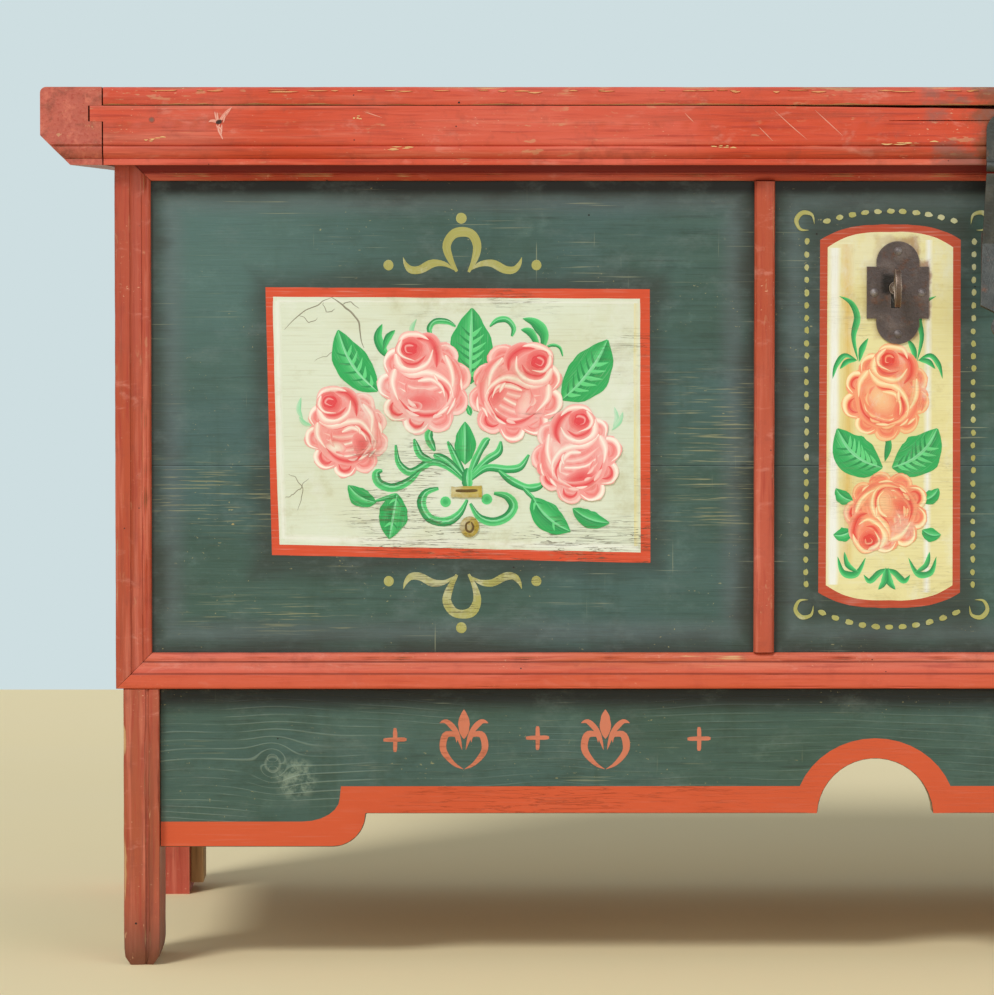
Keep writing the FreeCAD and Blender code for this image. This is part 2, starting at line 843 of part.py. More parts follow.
for number in range(leaf_nails):
    z_nail = z_leaf - leaf_nail_first - number * leaf_run / (leaf_nails - 1)
    side = 1 - 2 * (number % 2)
    x_nail = hinge_offset + side * hinge_width / 5
    leaf_nail_set.append(nail_at(V(x_nail, y_back + hinge_leaf_thick, z_nail), Y))
strap = cut_all(strap, strap_nail_set)
leaf = cut_all(leaf, leaf_nail_set)
strap_nail_set = strap_nail_set + [mirrored(nail) for nail in strap_nail_set]
leaf_nail_set = leaf_nail_set + [mirrored(nail) for nail in leaf_nail_set]
shapes["hinge_strap_right"] = strap
shapes["hinge_strap_left"] = mirrored(strap)
shapes["hinge_leaf_right"] = leaf
shapes["hinge_leaf_left"] = mirrored(leaf)
shapes["hinge_pins"] = Part.makeCompound([hinge_pin, mirrored(hinge_pin)])
shapes["strap_nails"] = Part.makeCompound(strap_nail_set)
shapes["leaf_nails"] = Part.makeCompound(leaf_nail_set)
strap_notch = box(
    hinge_offset - hinge_width / 2 - strap_notch_clear,
    hinge_offset + hinge_width / 2 + strap_notch_clear,
    y_in_back - 1,
    y_back + 1,
    z_lid - hinge_strap_thick - strap_notch_clear,
    z_lid,
)
back_upper = cut_all(back_upper, [strap_notch, mirrored(strap_notch), till_side, till_bottom])
shapes["back_board_upper"] = cut_all(back_upper, leaf_nail_set)
shapes["lid_board_middle"] = cut_all(lid_panels["middle"], strap_nail_set)
shapes["lid_board_back"] = cut_all(lid_panels["back"], strap_nail_set)


# Hasp plate on the lid's front, with its two bolts and the hinge pin
def ribbon(points, thick):
    """Side outline of a bent strip that follows the points, with mitred bends."""
    near = []
    far = []
    count = len(points)
    for number in range(count):
        before = points[max(number - 1, 0)]
        here = points[number]
        after = points[min(number + 1, count - 1)]
        normals = []
        for start, end in ((before, here), (here, after)):
            run = math.hypot(end[0] - start[0], end[1] - start[1])
            if run > 0:
                normals.append(((end[1] - start[1]) / run, -(end[0] - start[0]) / run))
        nx = sum(n[0] for n in normals)
        nz = sum(n[1] for n in normals)
        size = math.hypot(nx, nz)
        nx = nx / size
        nz = nz / size
        spread = thick / 2 / (nx * normals[0][0] + nz * normals[0][1])
        near.append((here[0] + nx * spread, here[1] + nz * spread))
        far.append((here[0] - nx * spread, here[1] - nz * spread))
    return near + far[::-1]


z_plate_top = z_hasp + hasp_plate_top
plate_half = hasp_knuckle_middle / 2 + hasp_knuckle_gap
knuckle_room = hasp_knuckle_radius + hasp_knuckle_gap
plate_box = box(-hasp_top_half, hasp_top_half, y_fascia - hasp_plate_thick, y_fascia, z_hasp, z_plate_top - hasp_top_half)
plate_round = rod(hasp_top_half, hasp_plate_thick, V(0, y_fascia - hasp_plate_thick, z_plate_top - hasp_top_half), Y)
hasp_side = hasp_top_half - plate_half
plate = joined(
    [
        plate_box,
        plate_round,
        rod(hasp_knuckle_radius, hasp_side, V(plate_half, y_hasp, z_hasp), X),
        rod(hasp_knuckle_radius, hasp_side, V(-hasp_top_half, y_hasp, z_hasp), X),
    ]
)
hasp_pin = rod(hasp_pin_radius, 2 * hasp_top_half, V(-hasp_top_half, y_hasp, z_hasp), X)
plate = cut_all(
    plate,
    [
        box(-plate_half, plate_half, y_hasp - knuckle_room, y_fascia + 1, z_hasp - knuckle_room, z_hasp + knuckle_room),
        hasp_pin,
    ],
)
hasp_bolts = []
for number in range(2):
    z_bolt_head = z_plate_top - hasp_bolt_below - number * hasp_bolt_spacing
    hasp_bolts.append(
        domed(
            V(0, y_fascia - hasp_plate_thick, z_bolt_head),
            V(0, -1, 0),
            hasp_bolt_radius,
            hasp_bolt_height,
            hasp_bolt_shank,
            hasp_plate_thick + rail_thick,
        )
    )
shapes["hasp_plate"] = cut_all(plate, hasp_bolts)
shapes["hasp_bolts"] = Part.makeCompound(hasp_bolts)
shapes["hasp_pin"] = hasp_pin
shapes["lid_front_rail"] = cut_all(lid_front_rail, hasp_bolts)
shapes["lid_board_front"] = cut_all(lid_panels["front"], strap_nail_set)


# Hasp strap in its engaged shape: in from the hinge, then flat along the front
def hasp_outline():
    half_middle = hasp_knuckle_middle / 2
    z_wide = z_hasp - knuckle_room - hasp_shoulder_gap
    right = [
        (half_middle, z_hasp + hasp_knuckle_radius),
        (half_middle, z_wide),
        (hasp_top_half, z_wide),
        (hasp_mid_half, z_hasp - hasp_crank_drop),
        (hasp_low_half, z_hasp - hasp_low_drop),
        (hasp_neck_half, z_hasp - hasp_neck_drop),
        (hasp_neck_half, z_hasp - hasp_finial_drop),
    ]
    left = [(-x, z) for x, z in right[::-1]]
    return right + left


y_sheet = y_hasp - hasp_finial_drop
hasp_line = [
    (y_hasp, z_hasp),
    (y_hasp_lie, z_hasp - hasp_crank_drop),
    (y_hasp_lie, z_hasp - hasp_curl_drop),
    (y_hasp_lie - hasp_curl_out, z_hasp - curl_tip_drop - hasp_thick),
]
hasp_sheet = prism_yz(ribbon(hasp_line, hasp_thick), -hasp_low_half, hasp_low_half)
hasp_front = joined(
    [
        prism_xz(hasp_outline(), y_sheet, y_in_front),
        rod(hasp_finial_radius, y_in_front - y_sheet, V(0, y_sheet, z_hasp - hasp_finial_drop), Y),
    ]
)
middle_start = V(-hasp_knuckle_middle / 2, y_hasp, z_hasp)
hasp_strap = joined([hasp_sheet.common(hasp_front), rod(hasp_knuckle_radius, hasp_knuckle_middle, middle_start, X)])
hasp_strap = hasp_strap.cut(rod(hasp_pin_radius + pin_clear, hasp_knuckle_middle, middle_start, X))

# Staple on the hasp's back and the riveted ends on its front
y_staple = y_hasp_lie + hasp_thick / 2
z_staple_low = z_bolt - staple_half
z_staple_high = z_bolt + staple_half
staple = box(-staple_width / 2, staple_width / 2, y_staple, y_staple_tip, z_staple_low, z_staple_high)
staple = staple.cut(
    box(
        -staple_width,
        staple_width,
        y_staple + staple_eye_start,
        y_staple_tip - staple_wall,
        z_staple_low + staple_wall,
        z_staple_high - staple_wall,
    )
)
staple_rivets = []
for side in (-1, 1):
    z_rivet = z_bolt + side * (staple_half - staple_wall / 2)
    staple_rivets.append(
        domed(
            V(0, y_hasp_lie - hasp_thick / 2, z_rivet),
            V(0, -1, 0),
            hasp_rivet_radius,
            hasp_rivet_height,
            staple_wall / 2,
            hasp_thick,
        )
    )
hasp_strap = cut_all(hasp_strap, staple_rivets)
hasp_turn = (V(0, y_hasp, z_hasp), V(-1, 0, 0), hasp_hang)
for name, shape in (
    ("hasp_strap", hasp_strap),
    ("hasp_staple", staple),
    ("hasp_rivets", Part.makeCompound(staple_rivets)),
):
    hung = shape.copy()
    hung.rotate(*hasp_turn)
    shapes[name] = hung

# Slot plate on the front behind the hasp
z_slot_low = z_staple_low - slot_clear_down
z_slot_high = z_staple_high + slot_clear_up
slot_cut = box(-slot_half_width, slot_half_width, y_front - slot_plate_thick - 1, y_plate_back + 1, z_slot_low, z_slot_high)
slot_plate = box(
    -slot_plate_half,
    slot_plate_half,
    y_front - slot_plate_thick,
    y_front,
    z_slot_low - slot_plate_margin,
    z_slot_high + slot_plate_margin,
)
slot_tacks = []
for x_side in (-1, 1):
    for z_tack in (z_slot_low - slot_plate_margin / 2, z_slot_high + slot_plate_margin / 2):
        x_tack = x_side * (slot_plate_half - slot_plate_margin / 2)
        slot_tacks.append(tack_at(V(x_tack, y_front - slot_plate_thick, z_tack), V(0, -1, 0)))
shapes["slot_plate"] = cut_all(slot_plate, [slot_cut] + slot_tacks)
shapes["slot_tacks"] = Part.makeCompound(slot_tacks)


# Keyhole through the escutcheon, the board and the lock plate
def keyhole(y0, y1):
    return joined(
        [
            rod(keyhole_radius, y1 - y0, V(x_key, y0, key_height), Y),
            box(
                x_key - keyhole_slot_half,
                x_key + keyhole_slot_half,
                y0,
                y1,
                key_height - keyhole_slot_drop,
                key_height,
            ),
        ]
    )


hole = keyhole(y_front - escutcheon_thick - 1, y_plate_back + 1)
x_plate = -escutcheon_offset
lobe_rise = escutcheon_half_height - escutcheon_lobe_radius
y_escutcheon = y_front - escutcheon_thick
escutcheon = joined(
    [
        box(
            x_plate - escutcheon_half_width,
            x_plate + escutcheon_half_width,
            y_escutcheon,
            y_front,
            escutcheon_height - escutcheon_half_box,
            escutcheon_height + escutcheon_half_box,
        ),
        rod(escutcheon_lobe_radius, escutcheon_thick, V(x_plate, y_escutcheon, escutcheon_height + lobe_rise), Y),
        rod(escutcheon_lobe_radius, escutcheon_thick, V(x_plate, y_escutcheon, escutcheon_height - lobe_rise), Y),
    ]
)
pin_rise = escutcheon_half_height - escutcheon_pin_in
pin_side = escutcheon_half_width - escutcheon_pin_side_in
escutcheon_pins = []
for dx, dz in ((0, pin_rise), (0, -pin_rise), (pin_side, 0), (-pin_side, 0)):
    escutcheon_pins.append(pin_at(V(x_plate + dx, y_escutcheon, escutcheon_height + dz), V(0, -1, 0)))
shapes["escutcheon"] = cut_all(escutcheon, [hole] + escutcheon_pins)
shapes["escutcheon_pins"] = Part.makeCompound(escutcheon_pins)

# Lock pocket, plate and cover
x_lock0 = x_key - lock_margin
x_lock1 = lock_margin_right
z_lock0 = key_height - lock_margin
z_lock1 = z_bolt + lock_margin_up
pocket = box(x_lock0, x_lock1, y_lock, y_in_front + 1, z_lock0, z_lock1)
x_fit0 = x_lock0 + lock_pocket_clear
x_fit1 = x_lock1 - lock_pocket_clear
z_fit0 = z_lock0 + lock_pocket_clear
z_fit1 = z_lock1 - lock_pocket_clear
lock_plate = box(x_fit0, x_fit1, y_lock, y_plate_back, z_fit0, z_fit1)
lock_tacks = []
tack_in = lock_cover_wall + tack_head_radius + tack_edge
for x_tack in (x_fit0 + tack_in, x_fit1 - tack_in):
    for z_tack in (z_fit0 + tack_in, z_fit1 - tack_in):
        lock_tacks.append(tack_at(V(x_tack, y_plate_back, z_tack), Y))
shapes["lock_plate"] = cut_all(lock_plate, [hole, slot_cut] + lock_tacks)
shapes["lock_tacks"] = Part.makeCompound(lock_tacks)
key_tip_hole = rod(key_tip_radius + pin_clear, board_thick, V(x_key, y_plate_back, key_height), Y)
lock_cover = box(x_fit0, x_fit1, y_plate_back, y_in_front, z_fit0, z_fit1)
lock_cover = lock_cover.cut(
    box(
        x_fit0 + lock_cover_wall,
        x_fit1 - lock_cover_wall,
        y_plate_back - 1,
        y_in_front - lock_cover_wall,
        z_fit0 + lock_cover_wall,
        z_fit1 - lock_cover_wall,
    )
)
shapes["lock_cover"] = lock_cover.cut(key_tip_hole)

# Bolt with its talon under the key, riser and head
bit_half = key_bit_thick / 2 + key_bit_clear
z_tail = key_height - key_bit_radius - bolt_tail_gap
x_tip = -slot_half_width - bolt_tip_gap
bolt_parts = [
    box(x_key - bolt_tail_back, x_key + bolt_tail_front, y_bolt, y_bolt_back, z_tail - 2 * bolt_half, z_tail),
    box(
        x_key - bit_half - bolt_lug, x_key - bit_half, y_bolt, y_bolt_back, z_tail - bolt_half, key_height - bolt_lug_back_top
    ),
    box(
        x_key + bit_half, x_key + bit_half + bolt_lug, y_bolt, y_bolt_back, z_tail - bolt_half, key_height - bolt_lug_front_top
    ),
    box(
        x_key + bolt_riser,
        x_key + bolt_riser + bolt_riser_width,
        y_bolt,
        y_bolt_back,
        z_tail - 2 * bolt_half,
        z_bolt + bolt_half,
    ),
    box(x_key + bolt_riser, x_tip, y_bolt, y_bolt_back, z_bolt - bolt_half, z_bolt + bolt_half),
]
shapes["lock_bolt"] = joined(bolt_parts)

# Keepers over the bolt's head and the leaf spring above it
keepers = []
for x_keeper in (-keeper_first, -keeper_second):
    z_hold = bolt_half + bolt_clear
    keeper = box(
        x_keeper - keeper_width / 2,
        x_keeper + keeper_width / 2,
        y_plate_back,
        y_bolt_back + bolt_clear + keeper_wall,
        z_bolt - z_hold - keeper_wall,
        z_bolt + z_hold + keeper_wall,
    )
    keepers.append(
        keeper.cut(
            box(
                x_keeper - keeper_width,
                x_keeper + keeper_width,
                y_plate_back - 1,
                y_bolt_back + bolt_clear,
                z_bolt - z_hold,
                z_bolt + z_hold,
            )
        )
    )
shapes["bolt_keepers"] = Part.makeCompound(keepers)
x_spring = -spring_centre - spring_length / 2
z_spring = z_bolt + bolt_half + bolt_clear
spring_line = [
    (x_spring, z_spring + spring_rise + spring_thick / 2),
    (x_spring + spring_length * 0.7, z_spring + spring_thick / 2),
    (x_spring + spring_length, z_spring + spring_rise / 2 + spring_thick / 2),
]
spring = joined(
    [
        prism_xz(ribbon(spring_line, spring_thick), y_plate_back + bolt_clear, y_bolt_back),
        box(
            x_spring,
            x_spring + spring_post,
            y_plate_back,
            y_bolt_back,
            z_spring + spring_rise,
            z_spring + spring_rise + spring_post,
        ),
    ]
)
shapes["lock_spring"] = spring

# Key: bow on edge to the front, collar, stem, bit and tip
y_collar = y_escutcheon - key_collar_gap - key_collar
y_neck = y_collar - key_neck
y_bow = y_neck - key_bow_half_depth
y_stem_end = y_bolt_back + bolt_clear
bow_ring = Part.Ellipse(V(0, 0, 0), key_bow_half_height, key_bow_half_depth).toShape()
bow_hole = Part.Ellipse(V(0, 0, 0), key_bow_half_height - key_bow_rim, key_bow_half_depth - key_bow_rim).toShape()
bow = Part.Face(Part.Wire([bow_ring])).cut(Part.Face(Part.Wire([bow_hole]))).extrude(V(0, 0, key_bow_thick))
bow.rotate(V(0, 0, 0), Y, -90)
bow.translate(V(x_key + key_bow_thick / 2, y_bow, key_height))
key = joined(
    [
        bow,
        rod(key_stem_radius, y_stem_end - y_neck + key_bow_rim / 2, V(x_key, y_neck - key_bow_rim / 2, key_height), Y),
        rod(key_collar_radius, key_collar, V(x_key, y_collar, key_height), Y),
        rod(key_tip_radius, y_in_front + key_tip_over - y_stem_end, V(x_key, y_stem_end, key_height), Y),
        box(
            x_key - key_bit_thick / 2,
            x_key + key_bit_thick / 2,
            y_bolt + key_bit_side,
            y_bolt_back - key_bit_side,
            key_height - key_bit_radius,
            key_height,
        ),
    ]
)
shapes["key"] = key

# Front upper board with the lock pocket, holes, housings and fixings
front_upper = cut_all(front_upper, [pocket, hole, slot_cut, till_side, till_bottom])
shapes["front_board_upper"] = cut_all(front_upper, escutcheon_pins + slot_tacks + lock_tacks)

# Centre the whole in depth, so the origin lies under the middle of its bounding box
whole = Part.makeCompound(list(shapes.values())).optimalBoundingBox(False)
y_shift = -(whole.YMin + whole.YMax) / 2
os.makedirs("parts", exist_ok=True)
for name, shape in shapes.items():
    placed = shape.copy()
    placed.translate(V(0, y_shift, 0))
    placed.exportStep("parts/" + name + ".step")

# Positions used by the joints, in millimetres
print("lid hinge", [0, round(y_hinge + y_shift, 4), round(z_hinge, 4)])
print("hasp hinge", [0, round(y_hasp + y_shift, 4), round(z_hasp, 4)])
print("key axis", [x_key, round((y_front + y_in_front) / 2 + y_shift, 4), key_height])
print("front", round(y_front + y_shift, 4), "back", round(y_back + y_shift, 4), "fascia", round(y_fascia + y_shift, 4))
print("bolt per radian", bolt_per_turn, "key throw", key_throw)
print("lid end", x_cleat_out, "nodes", len(shapes))
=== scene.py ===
"""Looks of a painted dowry chest: worn red and green paint on pine, painted roses, forged iron."""
from math import cos, radians, sin, sqrt, tau

import bmesh
import bpy
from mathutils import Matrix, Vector, noise


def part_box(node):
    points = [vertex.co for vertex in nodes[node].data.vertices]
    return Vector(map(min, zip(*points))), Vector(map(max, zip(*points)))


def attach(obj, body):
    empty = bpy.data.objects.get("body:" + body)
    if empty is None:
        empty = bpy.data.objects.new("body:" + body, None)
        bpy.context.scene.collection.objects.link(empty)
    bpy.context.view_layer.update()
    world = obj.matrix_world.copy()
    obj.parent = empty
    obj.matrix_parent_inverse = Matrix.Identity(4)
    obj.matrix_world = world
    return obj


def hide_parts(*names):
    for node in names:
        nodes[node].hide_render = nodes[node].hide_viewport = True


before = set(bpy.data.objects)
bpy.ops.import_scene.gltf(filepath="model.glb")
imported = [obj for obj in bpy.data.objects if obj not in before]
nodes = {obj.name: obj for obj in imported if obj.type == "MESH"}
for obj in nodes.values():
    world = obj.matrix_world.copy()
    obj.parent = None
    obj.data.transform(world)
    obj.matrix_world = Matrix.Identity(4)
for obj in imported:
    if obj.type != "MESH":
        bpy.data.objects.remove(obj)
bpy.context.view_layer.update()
scene = bpy.context.scene

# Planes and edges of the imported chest, in metres
front_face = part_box("front_board_upper")[0].y
case_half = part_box("frame_right")[1].x
stand_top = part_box("frame_bottom")[0].z
frame_top_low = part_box("frame_top")[0].z
frame_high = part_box("frame_top")[1].z
frame_wide = 0.0295
opening_low = stand_top + frame_wide
opening_high = frame_high - frame_wide
panel_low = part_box("muntin_left")[0].z
panel_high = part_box("muntin_left")[1].z
panel_half = case_half - frame_wide
muntin_x = -(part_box("muntin_left")[0].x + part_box("muntin_left")[1].x) / 2
muntin_half = 0.0085
lid_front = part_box("lid_front_rail")[0].y

# The two cream fields and the two tall fields between the uprights
field_x = 0.4428
field_z = 0.4441
field_half = (0.1565, 0.1110)
tall_x = 0.0901
tall_z = 0.4494
tall_half = (0.0585, 0.1580)

# Places that wear, stains and the painted shadow round the keyhole follow. A box is its half width, half
# height, middle x and middle z
rubbed_boxes = ((0.05, 0.022, 0.635, 0.385), (0.03, 0.06, 0.235, 0.42), (0.06, 0.008, 0.6, 0.29))
keyhole_box = (0.0060, 0.0070, -0.0900, 0.5590)
plate_boxes = ((0.0255, 0.021, -0.0855, 0.5555), (0.0155, 0.040, -0.0855, 0.5555))
knot_x = 0.596
knot_z = 0.165
knot_size = 0.012
paint_depth = 0.002

# Fits and wear of the worn bars
bar_gap = 0.0002
muntin_gap = 0.0003
joint_gap = 0.0011
station_step = 0.007
full_rub = 0.0009
sway_deep = 0.00022
dent_deep = 0.00012
bruise_high = 0.016
bruise_deep = 0.013

# Paint films: how deep their backs sit in the wood, and how much higher each one lies than the last
film_back = 0.0002
film_step = 0.000006


def rgb(red, green, blue):
    """A colour as it looks on screen, 0 to 255, in the linear values that shaders use."""
    def linear(c):
        c = c / 255
        return c / 12.92 if c < 0.04 else ((c + 0.055) / 1.055) ** 2.4
    return (linear(red), linear(green), linear(blue), 1.0)


# Colours of the paint, wood and iron
red_deep = rgb(160, 46, 34)
red_faded = rgb(222, 112, 92)
red_film = rgb(214, 78, 44)
green = rgb(58, 84, 74)
green_blue = rgb(66, 94, 92)
green_deep = rgb(38, 52, 46)
glaze = rgb(44, 40, 34)
cream = rgb(219, 227, 206)
cream_yellow = rgb(230, 222, 164)
cream_white = rgb(240, 242, 234)
olive = rgb(170, 168, 96)
coral = rgb(204, 118, 88)
pine = rgb(196, 160, 112)
pine_dark = rgb(150, 110, 70)
primer = rgb(216, 176, 122)
# Near black for worm holes and the nail hole, and for the painted shadow at the keyhole
hole_and_shade_black = rgb(24, 18, 14)
iron = rgb(84, 72, 69)
rust = rgb(98, 62, 44)


class Finish:
    """A material, with short calls that add its nodes."""

    def __init__(self, name):
        self.material = bpy.data.materials.new(name)
        self.material.use_nodes = True
        self.tree = self.material.node_tree
        self.shader = self.tree.nodes["Principled BSDF"]
        self.place = self.add("TexCoord", out="Object")
        axes = self.add("SeparateXYZ", {0: self.place}).node
        self.x, self.y, self.z = axes.outputs
        self.colour = None

    def add(self, kind, sockets=None, out=0, **props):
        node = self.tree.nodes.new("ShaderNode" + kind)
        for key, value in props.items():
            setattr(node, key, value)
        for key, value in (sockets or {}).items():
            self.feed(node.inputs[key], value)
        return node.outputs[out]

    def feed(self, socket, value):
        if isinstance(value, bpy.types.NodeSocket):
            self.tree.links.new(value, socket)
        else:
            socket.default_value = value

    def math(self, operation, a, b=0.0):
        return self.add("Math", {0: a, 1: b}, operation=operation)

    def plus(self, a, b):
        return self.math("ADD", a, b)

    def minus(self, a, b):
        return self.math("SUBTRACT", a, b)

    def times(self, value, *others):
        for other in others:
            value = self.math("MULTIPLY", value, other)
        return value

    def away(self, value, middle=0.0):
        """How far a value is from a middle, on either side."""
        return self.math("ABSOLUTE", self.minus(value, middle))

    def span(self, value, low, high):
        """0 at low and 1 at high, eased between them."""
        sockets = {"Value": value, "From Min": low, "From Max": high}
        return self.add("MapRange", sockets, interpolation_type="SMOOTHSTEP")

    def level(self, value, low, high, start=0.0, end=1.0):
        """A straight ramp that is low at start and high at end."""
        sockets = {"Value": value, "From Min": start, "From Max": end, "To Min": low, "To Max": high}
        return self.add("MapRange", sockets)

    def noise(self, scale, detail=3.0, rough=0.55, stretch=(1, 1, 1), warp=0.0, place=None):
        where = self.add("VectorMath", {0: place or self.place, 1: stretch}, operation="MULTIPLY")
        sockets = {"Vector": where, "Scale": scale, "Detail": detail, "Roughness": rough, "Distortion": warp}
        return self.add("TexNoise", sockets)

    def patches(self, low, high, *look):
        """Noise that is cut to 0 below low and 1 above high."""
        return self.span(self.noise(*look), low, high)

    def mix(self, amount, a, b, blend="MIX"):
        return self.add("Mix", {0: amount, 6: a, 7: b}, out=2, data_type="RGBA", blend_type=blend)

    def over(self, colour, tone, *amounts):
        """A tone laid over a colour, as strong as the product of the amounts."""
        return self.mix(self.times(*amounts), colour, tone)

    def lay(self, tone, *amounts):
        """Lays a tone over the finish's colour so far."""
        self.colour = self.over(self.colour, tone, *amounts)

    def dull(self, tint, *amounts):
        """Darkens the finish's colour so far by a tint."""
        self.lay(self.mix(1.0, self.colour, tint, "MULTIPLY"), *amounts)

    def edges(self, radius):
        """Rises from 0 on flat faces to 1 at edges."""
        soft = self.add("Bevel", {"Radius": radius}, samples=6)
        hard = self.add("NewGeometry", out="Normal")
        alike = self.add("VectorMath", {0: soft, 1: hard}, out="Value", operation="DOT_PRODUCT")
        return self.minus(1.0, alike)

    def holes(self, scale, share, size):
        """Small round marks, such as worm holes and nail pricks."""
        cell = self.add("TexVoronoi", {"Vector": self.place, "Scale": scale}).node
        pick = self.add("SeparateColor", {0: cell.outputs["Color"]})
        near = self.math("LESS_THAN", cell.outputs["Distance"], size * scale)
        return self.times(near, self.math("LESS_THAN", pick, share))

    def near_box(self, x, half_x, half_z, middle_x, middle_z):
        """Distance outside a box on the front, and below 0 inside it."""
        dx = self.minus(self.away(x, middle_x), half_x)
        dz = self.minus(self.away(self.z, middle_z), half_z)
        return self.math("MAXIMUM", dx, dz)

    def close(self, rough, height, depth, metal=0.0, specular=0.4):
        self.feed(self.shader.inputs["Base Color"], self.colour)
        self.feed(self.shader.inputs["Roughness"], rough)
        bump = self.add("Bump", {"Strength": 0.7, "Distance": depth, "Height": height})
        self.feed(self.shader.inputs["Normal"], bump)
        self.shader.inputs["Metallic"].default_value = metal
        self.shader.inputs["Specular IOR Level"].default_value = specular
        return self.material


stretches = {"x": (0.05, 1, 1), "y": (1, 0.05, 1), "z": (1, 1, 0.05)}


def wood_colour(f, along):
    """Bare aged pine with its grain along one axis, and the height of its fibres."""
    stretch = stretches[along]
    fibre = f.noise(420, 2.0, 0.6, stretch)
    wood = f.over(pine, pine_dark, f.patches(0.35, 0.7, 110, 4.0, 0.6, stretch, 0.4), 0.6)
    wood = f.over(wood, rgb(112, 80, 50), f.span(fibre, 0.5, 0.75), 0.35)
    return f.over(wood, rgb(124, 98, 70), f.patches(0.45, 0.75, 6, 4.0, 0.6), 0.4), fibre


def bare_wood(name, along):
    f = Finish(name)
    f.colour, fibre = wood_colour(f, along)
    f.lay(rgb(176, 142, 100), f.span(f.edges(0.003), 0.05, 0.3))
    f.lay(hole_and_shade_black, f.holes(55, 0.25, 0.0007))
    return f.close(0.72, fibre, 0.0005, specular=0.25)


def worn(f, along, rub, amount=1.0):
    """Paint rubbed thin along the edges and scuffed down to primer and wood."""
    patch = f.noise(38, 4.0, 0.65, stretches[along])
    rub = f.span(f.times(rub, f.plus(0.1, patch)), 0.16, 0.5)
    under = f.mix(f.span(patch, 0.42, 0.6), rgb(122, 44, 34), primer)
    f.lay(under, rub, amount, 0.85)
    scuff = f.patches(0.66, 0.76, 150, 3.0, 0.7, stretches[along])
    f.lay(primer, scuff, f.patches(0.5, 0.6, 11), 0.8)


def red_paint(name, along, tone, lofted=False, shade=None, bare_under=False, rusty_middle=False, aged=0.0,
              groove_shadows=()):
    """Red paint brushed along the grain. Lofted bars carry their own wear; other pieces find their edges."""
    f = Finish(name)
    stretch = stretches[along]
    fade = f.patches(0.38, 0.66, 13, 4.0, 0.6, stretch, 0.3)
    fibre = f.noise(330, 3.0, 0.6, stretch)
    streak = f.noise(110, 3.0, 0.65, stretch)
    warm = f.mix(1.0, tone, rgb(255, 252, 226), "MULTIPLY")
    f.colour = f.over(f.over(tone, red_faded, fade, 0.6), warm, f.patches(0.4, 0.62, 3.2, 3.0, 0.6))
    f.lay(rgb(228, 132, 108), f.span(streak, 0.52, 0.7), 0.4)
    f.lay(red_deep, f.span(fibre, 0.5, 0.72), 0.55)
    f.lay(rgb(150, 66, 50), f.patches(0.5, 0.72, 46, 5.0, 0.7), 0.4)
    f.lay(rgb(224, 148, 130), f.patches(0.56, 0.74, 75, 4.0, 0.7, (0.4, 1, 1), 0.4), 0.4)
    rub = f.add("Attribute", out="Fac", attribute_name="wear") if lofted else f.edges(0.0028)
    worn(f, along, rub)
    fleck = f.patches(0.68, 0.74, 620, 2.0, 0.5, (0.5, 1, 1))
    f.lay(rgb(232, 178, 142), fleck, f.patches(0.48, 0.62, 21), 0.7)
    # shade lays a colour over a band of the piece: painted shadow under the lid on the frame top, painted
    # shading on the lower part of the bottom frame, and darker towards the foot of the legs.
    if shade:
        low, high, other, amount = shade
        f.lay(other, f.span(f.z, low, high), amount)
    # Painted shade: thin dark lines in the steps of the moulding.
    for groove in groove_shadows:
        f.lay(rgb(104, 36, 24), f.span(f.away(f.z, groove), 0.0013, 0.0003), 0.6)
    if aged:
        darkened_area = f.patches(0.5, 0.68, 70, 5.0, 0.7, stretch, 0.3)
        f.lay(rgb(104, 58, 42), darkened_area, 0.55 * aged)
        short = [0.3 if part < 1 else 1 for part in stretch]
        chip = f.patches(0.62, 0.68, 190, 3.0, 0.6, short)
        f.lay(rgb(206, 158, 118), chip, f.patches(0.48, 0.6, 19), 0.8 * aged)
    if rusty_middle:
        stain = f.plus(f.away(f.x), f.times(f.noise(45, 4.0, 0.7), 0.06))
        close = f.span(f.plus(f.y, f.times(f.noise(30), 0.04)), lid_front + 0.07, lid_front + 0.015)
        f.lay(rgb(112, 72, 46), f.span(stain, 0.066, 0.046), close, 0.75)
        smudge = f.patches(0.46, 0.6, 34, 4.0, 0.65, (0.6, 1, 1))
        f.lay(rgb(126, 96, 88), f.span(stain, 0.17, 0.06), smudge, close, 0.65)
    if bare_under:
        facing = f.add("SeparateXYZ", {0: f.add("TexCoord", out="Normal")}, out=2)
        f.lay(wood_colour(f, along)[0], f.span(facing, -0.5, -0.8))
    f.lay(hole_and_shade_black, f.holes(38, 0.3, 0.0009))
    f.lay(rgb(70, 30, 24), f.holes(85, 0.22, 0.0006))
    return f.close(f.level(fade, 0.42, 0.6), f.plus(fibre, f.times(streak, 0.6)), 0.0006)


def green_paint(f, along):
    """Dark green paint, brushed thin along the grain. Gives the height of its fibres."""
    stretch = stretches[along]
    fibre = f.noise(300, 3.0, 0.62, stretch)
    mottle = f.noise(34, 6.0, 0.75, (0.7, 1, 1))
    f.colour = f.over(green, green_blue, f.patches(0.35, 0.68, 8, 4.0, 0.6, (0.5, 1, 1)))
    f.lay(rgb(86, 112, 104), f.patches(0.42, 0.75, 90, 3.0, 0.6, stretch), 0.3)
    f.lay(green_deep, f.span(fibre, 0.5, 0.8), 0.55)
    f.lay(rgb(46, 66, 54), f.span(mottle, 0.5, 0.7), 0.45)
    f.lay(rgb(92, 118, 112), f.span(mottle, 0.47, 0.3), 0.4)
    f.lay(rgb(44, 66, 50), f.patches(0.54, 0.7, 26, 4.0, 0.65, (1, 1, 0.12)), 0.35)
    return fibre


